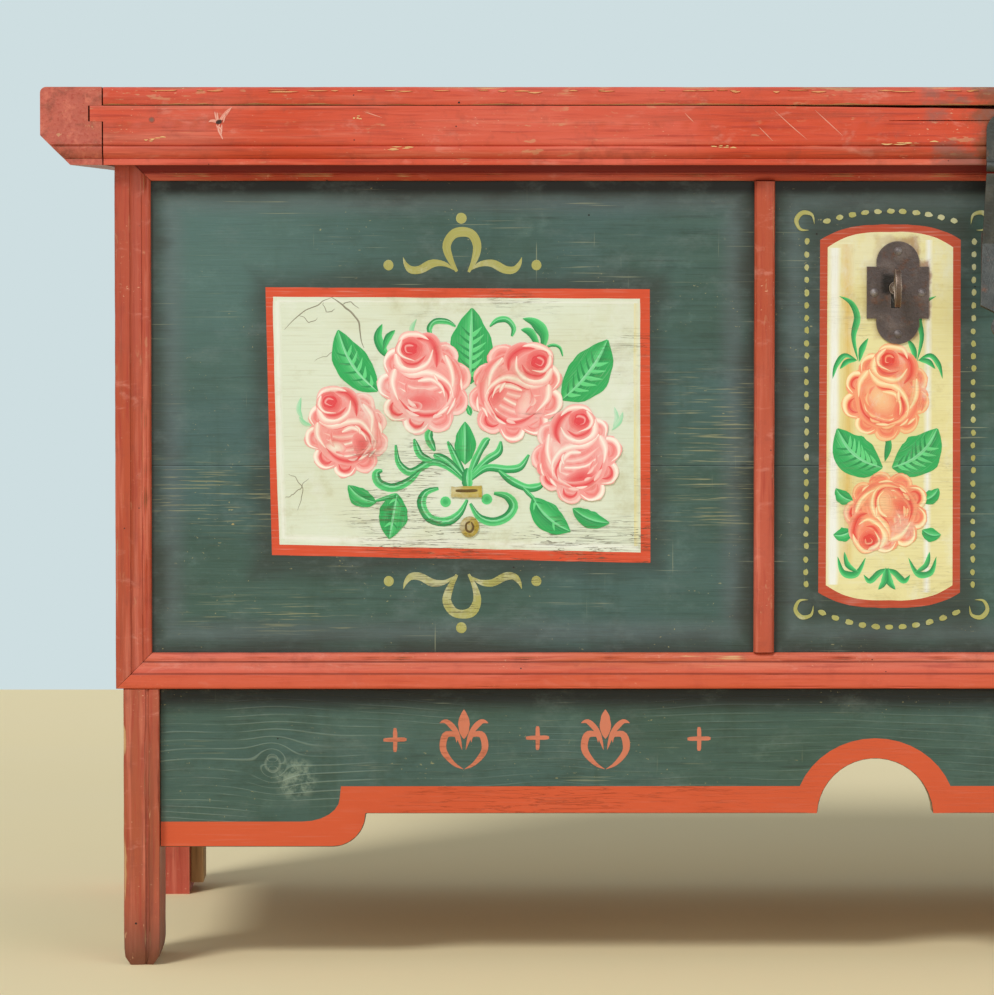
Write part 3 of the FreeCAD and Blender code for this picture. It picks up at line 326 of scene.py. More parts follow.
def scratched(f):
    """Fine pale scratches along and across the boards, flecks and small chips that show the wood."""
    area = f.patches(0.46, 0.64, 9, 3.0, 0.6)
    for scale, stretch, low in ((520, (0.02, 1, 1), 0.65), (380, (1, 1, 0.035), 0.73),
                                (260, (0.3, 1, 0.3), 0.74)):
        thin = f.patches(low, low + 0.06, scale, 2.0, 0.5, stretch)
        f.lay(rgb(150, 154, 126), thin, area, 0.6)
    f.lay(rgb(112, 126, 124), f.patches(0.5, 0.74, 30, 5.0, 0.72, (0.6, 1, 1)), 0.3)
    fleck = f.patches(0.7, 0.75, 480, 2.0, 0.5, (0.7, 1, 1))
    f.lay(rgb(180, 170, 120), fleck, f.patches(0.5, 0.62, 17), 0.5)
    chip = f.patches(0.74, 0.78, 230, 2.0, 0.5, (0.35, 1, 1))
    f.lay(rgb(178, 156, 100), chip, f.patches(0.52, 0.6, 14))
    f.lay(hole_and_shade_black, f.holes(32, 0.35, 0.0008))


def bare_behind(f):
    """Paint on the front face only; the rest of the board is bare."""
    f.lay(wood_colour(f, "x")[0], f.math("GREATER_THAN", f.y, front_face + paint_depth))


def panel_paint(name):
    """The front boards: green paint, dark glaze by the frame and round the fields, a painted sheen high on
    the outer parts, a painted shadow along the top, bare inside.
    """
    f = Finish(name)
    fibre = green_paint(f, "x")
    side = f.away(f.x)
    ragged = f.times(f.minus(f.noise(26, 4.0, 0.55, (0.5, 1, 1)), 0.5), 0.03)
    gap = f.minus(f.away(side, muntin_x), muntin_half)
    for other in (f.minus(panel_half, side), f.minus(f.z, panel_low), f.minus(panel_high, f.z)):
        gap = f.math("MINIMUM", gap, other)
    around = f.math("MINIMUM", f.near_box(side, *field_half, field_x, field_z),
                    f.near_box(side, *tall_half, tall_x, tall_z))
    # Painted sheen: a lighter bluish cast high on the outer part of each panel.
    f.lay(rgb(98, 132, 130), f.span(side, 0.44, 0.64), f.span(f.z, 0.40, 0.58), 0.4)
    f.lay(rgb(104, 104, 112), f.span(gap, 0.034, 0.016), f.span(gap, 0.004, 0.014), 0.3)
    f.lay(glaze, f.span(f.plus(gap, ragged), 0.020, 0.0), 0.75)
    f.lay(glaze, f.span(f.plus(around, ragged), 0.024, 0.0), 0.6)
    # Painted shadow: a near-black band along the top of the panels, under the frame and the lid.
    below = f.math("LESS_THAN", f.z, panel_high + 0.02)
    f.lay(rgb(13, 9, 6), f.span(f.z, panel_high - 0.013, panel_high - 0.006), below, 0.95)
    scratched(f)
    thin = f.patches(0.56, 0.66, 650, 3.0, 0.6, (0.03, 1, 1))
    for box in rubbed_boxes:
        rubbed = f.span(f.plus(f.near_box(side, *box), ragged), 0.02, -0.012)
        f.lay(rgb(164, 160, 118), rubbed, thin, 0.55)
    bare_behind(f)
    return f.close(0.5, fibre, 0.0005)


def apron_green(name):
    """The front apron: green, with a painted shadow under the frame, and raised grain lines that flow round a
    knot.
    """
    f = Finish(name)
    fibre = green_paint(f, "x")
    dx = f.minus(f.away(f.x), knot_x)
    dz = f.minus(f.z, knot_z)
    far = f.plus(f.times(dx, dx), f.times(dz, dz))
    flow = f.times(dz, f.minus(1.0, f.math("DIVIDE", knot_size ** 2, f.plus(far, 0.00003))))
    sway = f.times(f.minus(f.noise(9, 2.0, 0.5, (0.35, 1, 1)), 0.5), 0.045)
    wave = f.math("SINE", f.times(f.plus(flow, sway), 1050.0))
    near = f.plus(0.15, f.times(f.span(far, 0.03, 0.002), 0.2))
    line = f.times(f.span(wave, 0.8, 1.0), f.patches(0.4, 0.62, 26, 4.0, 0.65, (0.3, 1, 1)))
    f.lay(rgb(146, 166, 156), line, near)
    smear_x, smear_z = f.plus(dx, 0.019), f.plus(dz, 0.012)
    smear = f.span(f.plus(f.times(smear_x, smear_x), f.times(smear_z, smear_z)), 0.00045, 0.00002)
    f.lay(rgb(150, 168, 156), smear, f.patches(0.36, 0.62, 150, 4.0, 0.7), 0.6)
    ring = f.span(f.away(f.math("SQRT", far), 0.006), 0.0016, 0.0004)
    f.lay(rgb(150, 166, 156), ring, 0.3)
    # Painted shadow: a near-black band across the top of the apron, under the frame.
    f.lay(rgb(15, 13, 9), f.span(f.z, stand_top - 0.025, stand_top - 0.008), 0.92)
    scratched(f)
    f.dull(rgb(246, 244, 230), 1.0)
    bare_behind(f)
    return f.close(0.5, f.plus(fibre, f.times(line, 0.5)), 0.0005)


def end_paint(name, outside):
    """The end boards: green outside, bare inside."""
    f = Finish(name)
    fibre = green_paint(f, "y")
    scratched(f)
    worn(f, "y", f.edges(0.0028), 0.6)
    inside = f.math("LESS_THAN", f.away(f.x), outside - paint_depth)
    f.lay(wood_colour(f, "y")[0], inside)
    return f.close(0.5, fibre, 0.0005)


def forged(name, tone=iron, bright=rgb(128, 112, 104), rusted=0.5, metal=0.35, keyhole=None):
    """Hammered iron with rust in the hollows and rubbed edges, and a painted shadow round a keyhole."""
    f = Finish(name)
    blow = f.noise(70, 3.0, 0.5)
    pit = f.noise(420, 3.0, 0.7)
    f.colour = f.over(tone, rust, f.patches(rusted, rusted + 0.2, 85, 4.0, 0.7))
    f.lay(bright, f.span(blow, 0.45, 0.7), 0.4)
    f.lay(rgb(52, 42, 40), f.span(pit, 0.5, 0.7), 0.4)
    f.lay(bright, f.span(f.edges(0.0015), 0.05, 0.25), 0.7)
    if keyhole:
        # Painted shadow: the plate is darkened round the keyhole, where the key and the hole lie in shade.
        darkened_area = f.plus(f.near_box(f.x, *keyhole), f.times(f.noise(160, 4.0, 0.7), 0.006))
        f.lay(hole_and_shade_black, f.span(darkened_area, 0.006, 0.0015), 0.9)
    return f.close(f.level(pit, 0.34, 0.6), f.plus(blow, f.times(pit, 0.5)), 0.0014, metal, 0.5)


# Materials of the wood and iron
red_y = red_paint("red_paint_along_y", "y", rgb(188, 96, 82), aged=0.8)
red_z = red_paint("red_paint_along_z", "z", rgb(176, 70, 50))
red_lid_x = red_paint("red_lid_rail", "x", rgb(206, 74, 48), True, rusty_middle=True, aged=0.6)
red_lid_board = red_paint("red_lid_board", "x", rgb(204, 76, 52), True, bare_under=True, rusty_middle=True,
                          aged=0.6)
red_lid_top = red_paint("red_lid_top", "x", rgb(198, 76, 54), bare_under=True)
# Bottom frame: the lower flat part is painted a deeper orange-red than the upper moulding, which stays pale
# (painted shading), with painted shade lines in the moulding's steps.
red_frame_x = red_paint("red_frame_along", "x", rgb(202, 98, 74), True,
                        (stand_top + 0.019, stand_top + 0.014, rgb(208, 80, 46), 0.55),
                        groove_shadows=(stand_top + 0.0125, stand_top + 0.022))
# Frame top: its upper part, in under the lid, is painted a deep dark red: painted shadow.
red_frame_top = red_paint("red_frame_top", "x", rgb(182, 66, 40), True,
                          (frame_top_low + 0.0045, frame_top_low + 0.008, rgb(120, 12, 2), 0.95))
red_frame_z = red_paint("red_frame_upright", "z", rgb(180, 78, 54), True, aged=0.5)
red_leg = red_paint("red_leg", "z", rgb(168, 82, 58), True, (0.06, 0.0, rgb(104, 66, 48), 0.8), aged=1.0)
pine_x = bare_wood("bare_pine_along_x", "x")
pine_y = bare_wood("bare_pine_along_y", "y")
pine_z = bare_wood("bare_pine_along_z", "z")
green_front = panel_paint("green_front")
green_end = end_paint("green_end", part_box("end_board_right_upper")[1].x)
green_side = end_paint("green_side_apron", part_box("apron_right")[1].x)
green_apron = apron_green("green_apron")
dark_iron = forged("forged_iron")
grey_iron = forged("grey_iron", rgb(62, 64, 61), rgb(96, 94, 88), 0.56)
pin_iron = forged("pin_iron", rgb(104, 94, 92), rgb(186, 178, 176), 0.62)
key_iron = forged("key_iron", rgb(104, 84, 72), rgb(226, 208, 190), 0.6, 0.7)
plate_iron = forged("plate_iron", keyhole=keyhole_box)
irons = (dark_iron, grey_iron, pin_iron, key_iron, plate_iron)

# The first entry that a node's name starts with gives its material; other nodes are dark iron
by_name = {
    "front_board": green_front, "end_board": green_end, "apron_front": green_apron, "apron_back": pine_x,
    "apron_": green_side, "lid_front_rail": red_lid_top, "lid_board": red_lid_top, "lid_cleat": red_y,
    "frame_": red_z, "muntin": red_z, "leg_": red_z, "back_board": pine_x, "floor_board": pine_x,
    "till": pine_y, "stand_pegs": pine_y, "floor_ledgers": pine_x, "corner_blocks": pine_z,
    "escutcheon_pins": pin_iron, "escutcheon": plate_iron, "hasp_bolts": pin_iron, "hasp_plate": grey_iron,
    "hasp_strap": grey_iron, "key": key_iron,
}
for name, node in nodes.items():
    material = next((m for start, m in by_name.items() if name.startswith(start)), dark_iron)
    node.data.materials.clear()
    node.data.materials.append(material)
    weld = node.modifiers.new("weld", "WELD")
    weld.merge_threshold = 0.00002
    flat = node.modifiers.new("flat_faces", "DECIMATE")
    flat.decimate_type = "DISSOLVE"
    flat.angle_limit = radians(0.5)
    bevel = node.modifiers.new("rounded_edges", "BEVEL")
    bevel.width = 0.0004 if material in irons else 0.0012
    bevel.segments = 2
    bevel.limit_method = "ANGLE"
    bevel.angle_limit = radians(40)


def drift(x, y, z):
    """Smooth noise between -1 and 1 that is the same in each run."""
    return noise.noise(Vector((x, y, z)))


def add_object(name, data):
    made = bpy.data.objects.new(name, data)
    scene.collection.objects.link(made)
    return made


def add_piece(name, mesh, material, body):
    """Turns a mesh's faces outward and adds it as a piece that rides a body."""
    work = bmesh.new()
    work.from_mesh(mesh)
    bmesh.ops.recalc_face_normals(work, faces=work.faces)
    work.to_mesh(mesh)
    work.free()
    mesh.materials.append(material)
    made = add_object(name, mesh)
    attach(made, body)
    return made


# Worn wooden bars that stand for the plain ones: softened corners, rubbed edges, hand-planed faces
class Bar:
    """A section swept along a line. Section points are in metres, corners are rounded and rubbed."""

    def __init__(self, section, soft, closest=0.007):
        self.ring = []
        count = len(section)
        for k in range(count):
            before, here, after = (Vector(section[(k + d) % count]) for d in (-1, 0, 1))
            into, out = here - before, after - here
            face_in, face_out = (Vector((line.y, -line.x)).normalized() for line in (into, out))
            normal = (face_in + face_out).normalized()
            turn = into.normalized().cross(out.normalized())
            if abs(turn) > 0.35:
                self.round_corner(here, into, out, normal, soft, turn > 0)
            else:
                self.ring.append((here, normal, 0.1))
            parts = int(out.length / closest)
            self.ring += [(here + out * (j / parts), face_out, 0.0) for j in range(1, parts)]

    def round_corner(self, here, into, out, normal, soft, convex):
        """Two points on each side of a corner and one on its soft edge. Only convex corners are rubbed."""
        cut = min(soft, into.length / 3, out.length / 3)

        def side(line, way):
            far = here + line.normalized() * min(3.0 * cut, 0.45 * line.length) * way
            near = here + line.normalized() * cut * way
            return [(far, normal, 0.0), (near, normal, 0.35 * convex)]

        tip = here - normal * cut * (0.35 if convex else -0.35)
        self.ring += side(into, -1) + [(tip, normal, 1.0 * convex)] + side(out, 1)[::-1]

    def cap(self, first, reach):
        """Closes an end; where the section ends at two lengths, the step between them gets its own face."""
        size = len(reach)
        if len(set(reach)) != 2:
            return [tuple(range(first, first + size))]
        start = next(k for k in range(size) if reach[k] != reach[k - 1])
        turned = [(start + k) % size for k in range(size)]
        one = [first + k for k in turned if reach[k] == reach[start]]
        two = [first + k for k in turned if reach[k] != reach[start]]
        return [tuple(one), tuple(two), (one[-1], two[0], two[-1], one[0])]

    def make(self, name, stands_for, seat, ends, material, body="case", wear=0.0011, bend=None):
        """seat places (along, section x, section y); ends gives the bar's two ends at a section point."""
        points, rubs, faces = [], [], []
        longest = max(ends(p)[1] - ends(p)[0] for p, n, c in self.ring)
        stations = int(longest / station_step) + 1
        seed = Vector((len(name) * 3.7, longest * 11, wear * 900))
        for i in range(stations + 1):
            for p, normal, corner in self.ring:
                first, last = ends(p)
                s = first + (last - first) * i / stations
                spot = Vector((s, p.x, p.y))
                rough = noise.noise(spot * 42 + seed) + 0.5 * noise.noise(spot * 140 + seed)
                rub = corner * wear * max(0.0, 0.1 + 0.9 * rough)
                sway = sway_deep * noise.noise(Vector((s * 9, p.x * 30, p.y * 30)) + seed)
                dent = dent_deep * (noise.noise(spot * 120) - 0.5)
                q = p - normal * (rub + abs(sway) - min(dent, 0.0))
                if bend:
                    q = bend(s, p, q)
                points.append(seat(s, q.x, q.y))
                rubs.append(min(1.0, rub / full_rub))
        size = len(self.ring)
        for a in range(0, stations * size, size):
            for k in range(size):
                n = (k + 1) % size
                faces.append((a + k, a + n, a + size + n, a + size + k))
        for first, end in ((0, 0), (stations * size, 1)):
            faces += self.cap(first, [round(ends(p)[end], 5) for p, n, c in self.ring])
        mesh = bpy.data.meshes.new(name)
        mesh.from_pydata(points, [], faces)
        mesh.attributes.new("wear", "FLOAT", "POINT").data.foreach_set("value", rubs)
        made = add_piece(name, mesh, material, body)
        mesh.shade_smooth()
        mesh.set_sharp_from_angle(angle=radians(38))
        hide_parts(stands_for)


def arc_points(start, middle, end, parts):
    """Points on a shallow curve through three points."""
    a, m, b = Vector(start), Vector(middle), Vector(end)
    pull = 2 * m - (a + b) / 2
    shares = [k / parts for k in range(parts + 1)]
    return [a * (1 - t) ** 2 + pull * 2 * t * (1 - t) + b * t * t for t in shares]


def millimetres(points):
    return [Vector(p) / 1000 for p in points]


def long_ends(p):
    reach = panel_half + p.x - bar_gap
    return -reach, reach


def side_ends(p):
    return opening_low - p.x + bar_gap, opening_high + p.x - bar_gap


frame_bar = Bar(millimetres(
    [(0, 0), (29.5, 0), (29.5, 10.5), (28, 12), (17, 12)] + arc_points((17, 11), (13.05, 8.3), (7.5, 7.2), 4)
    + arc_points((7.5, 6), (3.75, 6.5), (0, 4), 4)), 0.0008)
for name, seat, ends, paint in (
        ("frame_bottom", lambda s, a, h: (s, front_face - h, opening_low - a), long_ends, red_frame_x),
        ("frame_top", lambda s, a, h: (s, front_face - h, opening_high + a), long_ends, red_frame_top),
        ("frame_right", lambda s, a, h: (panel_half + a, front_face - h, s), side_ends, red_frame_z),
        ("frame_left", lambda s, a, h: (-panel_half - a, front_face - h, s), side_ends, red_frame_z)):
    frame_bar.make("worn_" + name, name, seat, ends, paint)

muntin_bar = Bar(millimetres(
    [(-8.5, 0), (8.5, 0)] + arc_points((8.5, 5), (7.33, 7.83), (4.5, 9), 4)
    + arc_points((-4.5, 9), (-7.33, 7.83), (-8.5, 5), 4)), 0.0008)
for name, way in (("muntin_left", -1), ("muntin_right", 1)):
    muntin_bar.make("worn_" + name, name, lambda s, x, h: (way * muntin_x + x, front_face - h, s),
                    lambda p: (panel_low + muntin_gap, panel_high - muntin_gap), red_frame_z)

leg_low, leg_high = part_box("leg_front_right")
leg_wide, leg_deep = leg_high.x - leg_low.x, leg_high.y - leg_low.y
leg_bar = Bar([(0, 0), (0.0087, 0), (0.0087, 0.002), (0.0113, 0.002), (0.0113, 0), (leg_wide, 0),
               (leg_wide, leg_deep), (0, leg_deep)], 0.0016)


def foot_wear(s, p, q):
    """The foot is bruised: corners are knocked off towards the floor."""
    low = max(0.0, 1 - s / bruise_high)
    round_off = bruise_deep * (1 - sqrt(1 - low * low)) * (0.8 + 0.5 * drift(p.x * 60, p.y * 60, 3.0))
    return q - Vector(((p.x / leg_wide - 0.5), (p.y / leg_deep - 0.5))) * round_off


for name, way in (("leg_front_left", -1), ("leg_front_right", 1)):
    leg_bar.make("worn_" + name, name, lambda s, x, y: (way * (leg_low.x + x), leg_low.y + y, s),
                 lambda p: (0.0, stand_top - bar_gap), red_leg, wear=0.0016, bend=foot_wear)

# Lid: front rail and front board, with the joint that has opened towards the middle
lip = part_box("lid_front_rail")[1].z
lid_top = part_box("lid_board_front")[1].z
lid_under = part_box("lid_board_front")[0].z
rail_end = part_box("lid_cleat_right")[0].x
tongue_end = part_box("lid_front_rail")[1].x
board_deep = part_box("lid_board_front")[1].y - lid_front - 0.0003
board_high = lid_top - lip
board_low = 0.0004
tongue_low = lid_under - lip
rail_deep = 0.020
rail_low = -0.0479
tongue_step = (tongue_low - 0.00005, tongue_low + 0.00005)
opened_half = 0.30
opened_deep = 0.0034
split_x = 0.052
split_z = -0.0120
split_half = 0.042
split_deep = 0.004
rail_steps = sorted(tongue_step + (split_z + 0.0004, split_z, split_z - 0.0004), reverse=True)
rail_section = (
    [(rail_deep, z) for z in (rail_low, *tongue_step, 0)] + [(0, z) for z in (0, *rail_steps, -0.031)]
    + [(0.002, -0.033)] + millimetres(arc_points((0, -33), (1.1, -38.6), (6, -43), 5))
    + [(0.005, -0.043), (0.005, rail_low)])
board_back = rail_deep + 0.0002
board_section = [(0, board_low), (0, board_high), (board_deep, board_high), (board_deep, tongue_low),
                 (board_back, tongue_low), (board_back, board_low)]


def lid_seat(s, d, z):
    return s, lid_front + d, lip + z


def rail_ends(p):
    reach = (tongue_end if p.y > tongue_low else rail_end) - joint_gap
    return -reach, reach


def board_ends(p):
    reach = (rail_end if p.y > board_low / 2 else tongue_end) - joint_gap
    return -reach, reach


def rail_crack(s, p, q):
    """The top edge has sunk away from the board, and a short split runs beside the hasp."""
    middle = 1 - abs(s) / opened_half
    if p.y > -0.0015 and p.x < 0.015 and middle > 0:
        q = q - Vector((0, opened_deep * middle * middle * (0.8 + 0.4 * drift(s * 30, 0, 7))))
    near = abs(abs(s) - split_x) / split_half
    if abs(p.y - split_z) < 0.0002 and near < 1:
        q = q + Vector((split_deep * (1 - near * near), 0.0))
    return q


Bar(rail_section[::-1], 0.0009).make("worn_lid_rail", "lid_front_rail", lid_seat, rail_ends, red_lid_x, "lid",
                                     0.0009, rail_crack)
Bar(board_section[::-1], 0.0014, 0.009).make("worn_lid_board", "lid_board_front", lid_seat, board_ends,
                                             red_lid_board, "lid", 0.0013)


# Paint films: strokes, blobs and areas laid on a flat face
stroke_shapes = {
    "comma": (0.35, 0.95, 1.0, 0.85, 0.6, 0.35, 0.08),
    "leaf": (0.05, 0.6, 0.92, 1.0, 0.86, 0.5, 0.05),
    "band": (0.6, 0.97, 1.0, 1.0, 1.0, 0.97, 0.6),
    "moon": (0.04, 0.5, 0.85, 1.0, 0.85, 0.5, 0.04),
    "swell": (0.3, 0.75, 1.0, 1.0, 1.0, 0.75, 0.3),
    "even": (1.0, 1.0, 1.0),
}


def between(values, t):
    """A smooth walk through a row of points."""
    count = len(values) - 1
    at = min(int(t * count), count - 1)
    part = t * count - at
    a, b, c, d = (Vector(values[min(max(at + k, 0), count)]) for k in (-1, 0, 1, 2))
    return b + 0.5 * part * ((c - a) + part * (2 * a - 5 * b + 4 * c - d + part * (3 * (b - c) + d - a)))


def tone_between(tones, t):
    at = min(int(t * (len(tones) - 1)), len(tones) - 2)
    part = t * (len(tones) - 1) - at
    return tuple(a + (b - a) * part for a, b in zip(tones[at], tones[at + 1]))


def round_path(x, z, half_x, half_z, angles):
    """Points on an ellipse at the given angles."""
    return [(x + half_x * cos(a), z + half_z * sin(a)) for a in angles]


class Canvas:
    """Thin closed films of paint on a front face, gathered into one piece. Sizes are in millimetres."""

    def __init__(self, x, z, flip, face=front_face):
        self.home = (x, z, flip)
        self.face = face
        self.verts, self.tones, self.brush, self.faces = [], [], [], []
        self.lift = 0.0001
        self.shake = 0.0
        self.at(0, 0)

    def at(self, x, z, size=1.0, turn=0.0, flip=1):
        self.place = (x, z, size, cos(radians(turn)), sin(radians(turn)), flip)

    def point(self, x, z, tone, brush):
        x0, z0, size, c, s, flip = self.place
        home_x, home_z, home_flip = self.home
        x *= flip
        x, z = x0 + size * (x * c - z * s), z0 + size * (x * s + z * c)
        self.verts.append((home_x + home_flip * x / 1000, self.face - self.lift, home_z + z / 1000))
        self.tones.append(tone)
        self.brush.append(brush)
        return len(self.verts) - 1

    def skirt(self, ring):
        """Closes a film with walls and a back that sits just inside the wood."""
        first, back = len(self.verts), self.face + film_back
        for k in ring:
            self.verts.append((self.verts[k][0], back, self.verts[k][2]))
            self.tones.append(self.tones[k])
            self.brush.append(self.brush[k])
        count = len(ring)
        for k in range(count):
            self.faces.append((ring[k], ring[(k + 1) % count], first + (k + 1) % count, first + k))
        self.faces.append(tuple(range(first, first + count)))
        self.lift += film_step

    def stroke(self, path, half, tones, shape, steps=16, across=4, sides=(1.0, 1.0)):
        """A brush stroke along a path; its tones run from its left edge to its right edge."""
        size = self.place[2]
        widths = [(w, 0.0) for w in stroke_shapes[shape]]
        seed = Vector((path[0][0] * 3.1 + half, path[0][1] * 2.7, len(self.verts) * 0.37))
        if self.shake:
            spots = [seed + Vector((k * 1.7, 0, 0)) for k in range(len(path))]
            moves = [Vector((noise.noise(s), noise.noise(s + Vector((0, 5.3, 0))))) for s in spots]
            path = [Vector(p) + self.shake * move for p, move in zip(path, moves)]
        grid, run = [], 0.0
        for i in range(steps + 1):
            t = i / steps
            p = between(path, t)
            ahead = between(path, min(t + 0.02, 1.0)) - between(path, max(t - 0.02, 0.0))
            side = Vector((-ahead.y, ahead.x)).normalized()
            wobble = 1 + 0.16 * noise.noise(seed + Vector((t * 6, 0, 0)))
            w = max(between(widths, t).x, 0.02) * half * wobble
            row = []
            for j in range(across + 1):
                v = j / across
                off = w * (sides[0] - v * (sides[0] + sides[1]))
                q = p + side * off
                brush = (run * size + seed.z, off * size + seed.z)
                row.append(self.point(q.x, q.y, tone_between(tones, v), brush))
            grid.append(row)
            run += (between(path, min(t + 1 / steps, 1.0)) - p).length
        for a, b in zip(grid, grid[1:]):
            for j in range(across):
                self.faces.append((a[j], a[j + 1], b[j + 1], b[j]))
        self.skirt(grid[0] + [r[-1] for r in grid[1:]] + grid[-1][-2::-1] + [r[0] for r in grid[-2:0:-1]])

    def dash(self, x, z, long, sag, half, tones):
        self.stroke([(x - long, z), (x, z + sag), (x + long, z)], half, tones, "moon", 10, 2)

    def blob(self, x, z, rx, rz, inner, outer, turn=0.0, spokes=22, shade=(0.0, 0.0), wobble=0.05):
        """A round dab that fades from its middle tone to its rim tone."""
        size = self.place[2]
        c, s = cos(radians(turn)), sin(radians(turn))
        seed = len(self.verts) * 0.53
        middle = self.point(x + shade[0], z + shade[1], inner, (seed, seed))
        rings = []
        for share in (0.45, 0.75, 1.0):
            keep = 1 - share
            tone = tone_between((inner, outer), share ** 1.5)
            ring = []
            for k in range(spokes):
                a = tau * k / spokes
                r = share * (1 + wobble * drift(cos(a) * 1.5, sin(a) * 1.5, seed))
                px, pz = r * rx * cos(a), r * rz * sin(a)
                qx, qz = x + px * c - pz * s + keep * shade[0], z + px * s + pz * c + keep * shade[1]
                ring.append(self.point(qx, qz, tone, (a * rx * size + seed, share * rx * size)))
            rings.append(ring)
        for k in range(spokes):
            n = (k + 1) % spokes
            self.faces.append((middle, rings[0][k], rings[0][n]))
            for a, b in zip(rings, rings[1:]):
                self.faces.append((a[k], b[k], b[n], a[n]))
        self.skirt(rings[-1])

    def strip(self, low, high, tone):
        """A film between two outlines with the same number of points."""
        pairs = []
        for a, b in zip(low, high):
            pairs.append([self.point(*p, tone, (p[0] * 0.4, p[1] * 0.4)) for p in (a, b)])
        for a, b in zip(pairs, pairs[1:]):
            self.faces.append((a[0], a[1], b[1], b[0]))
        self.skirt([p[0] for p in pairs] + [p[1] for p in reversed(pairs)])

    def make(self, name, material, body="case", slot="painted_green_wood"):
        mesh = bpy.data.meshes.new(name)
        mesh.from_pydata(self.verts, [], self.faces)
        tones = mesh.color_attributes.new("paint", "FLOAT_COLOR", "POINT")
        tones.data.foreach_set("color", [c for tone in self.tones for c in tone])
        brush = mesh.uv_layers.new(name="brush")
        for loop in mesh.loops:
            brush.data[loop.index].uv = self.brush[loop.vertex_index]
        add_piece(name, mesh, material, body)


def film_paint(name, streaks=0.3, cracks=0.75):
    """Brushed oil paint that takes its colour from the stroke, cracked along the grain of the board."""
    f = Finish(name)
    tone = f.add("Attribute", out="Color", attribute_name="paint")
    brush = f.add("UVMap", uv_map="brush")
    bristle = f.noise(1.0, 3.0, 0.6, (0.05, 1.6, 1.0), place=brush)
    f.colour = f.over(tone, f.mix(0.6, tone, cream_white), f.span(bristle, 0.52, 0.75), streaks)
    f.dull(rgb(210, 194, 178), f.span(bristle, 0.5, 0.25), streaks)
    f.dull(rgb(238, 228, 200), f.patches(0.42, 0.72, 16, 4.0, 0.65, (0.6, 1, 1)), 0.35)
    side = f.away(f.x)
    low = f.times(f.span(f.z, 0.445, 0.405), f.span(side, 0.53, 0.46))
    area = f.plus(f.noise(17, 3.0, 0.6, (0.6, 1, 1)), f.times(low, 0.16))
    area = f.times(f.span(area, 0.56, 0.7), f.plus(0.3, f.times(f.span(side, 0.19, 0.27), 0.7)))
    thread = f.noise(300, 4.0, 0.6, (0.05, 1, 1), 0.5)
    crack = f.times(f.span(f.away(thread, 0.5), 0.016, 0.004), area)
    plate = f.math("MINIMUM", *(f.near_box(f.x, *box) for box in plate_boxes))
    halo = f.span(f.plus(plate, f.times(f.noise(70, 4.0, 0.7), 0.012)), 0.0105, 0.006)
    rightward = f.level(f.x, 0.15, 0.8, -0.11, -0.06)
    f.lay(rgb(142, 78, 42), halo, f.span(plate, -0.006, -0.003), rightward)
    grime = f.patches(0.5, 0.7, 23, 6.0, 0.75, (0.8, 1, 1))
    f.dull(rgb(206, 192, 156), grime, 0.5 * cracks)
    parts = f.add("SeparateColor", {0: tone}).node.outputs
    pale = f.span(f.math("MINIMUM", parts[0], parts[1]), 0.12, 0.3)
    for scale, start in ((31, 0.54), (9, 0.5)):
        chalk = f.patches(start, start + 0.14, scale, 6.0, 0.75, (1, 1, 0.7))
        f.lay(rgb(232, 236, 228), chalk, pale, 0.35 * cracks)
    f.lay(rgb(96, 82, 62), crack, cracks)
    rubbed = f.patches(0.6, 0.72, 210, 3.0, 0.6, (0.2, 1, 1))
    f.lay(rgb(150, 136, 108), rubbed, area, 0.5 * cracks)
    return f.close(0.45, f.minus(f.times(bristle, 0.4), crack), 0.0003)


# Tones of the painted flowers, dark to light
pinks = {"deep": rgb(228, 68, 76), "rosy": rgb(234, 98, 100), "mid": rgb(240, 128, 126),
         "base": rgb(247, 172, 168), "light": rgb(251, 210, 202), "white": rgb(253, 246, 234)}
oranges = {"deep": rgb(226, 66, 54), "rosy": rgb(234, 96, 76), "mid": rgb(241, 126, 98),
           "base": rgb(247, 162, 120), "light": rgb(250, 204, 152), "white": rgb(252, 238, 190)}
leaf = rgb(46, 172, 92)
leaf_dark = rgb(34, 132, 76)
leaf_light = rgb(100, 216, 134)
leaf_pale = rgb(140, 220, 170)
leaf_tones = (leaf_light, leaf, leaf_dark)


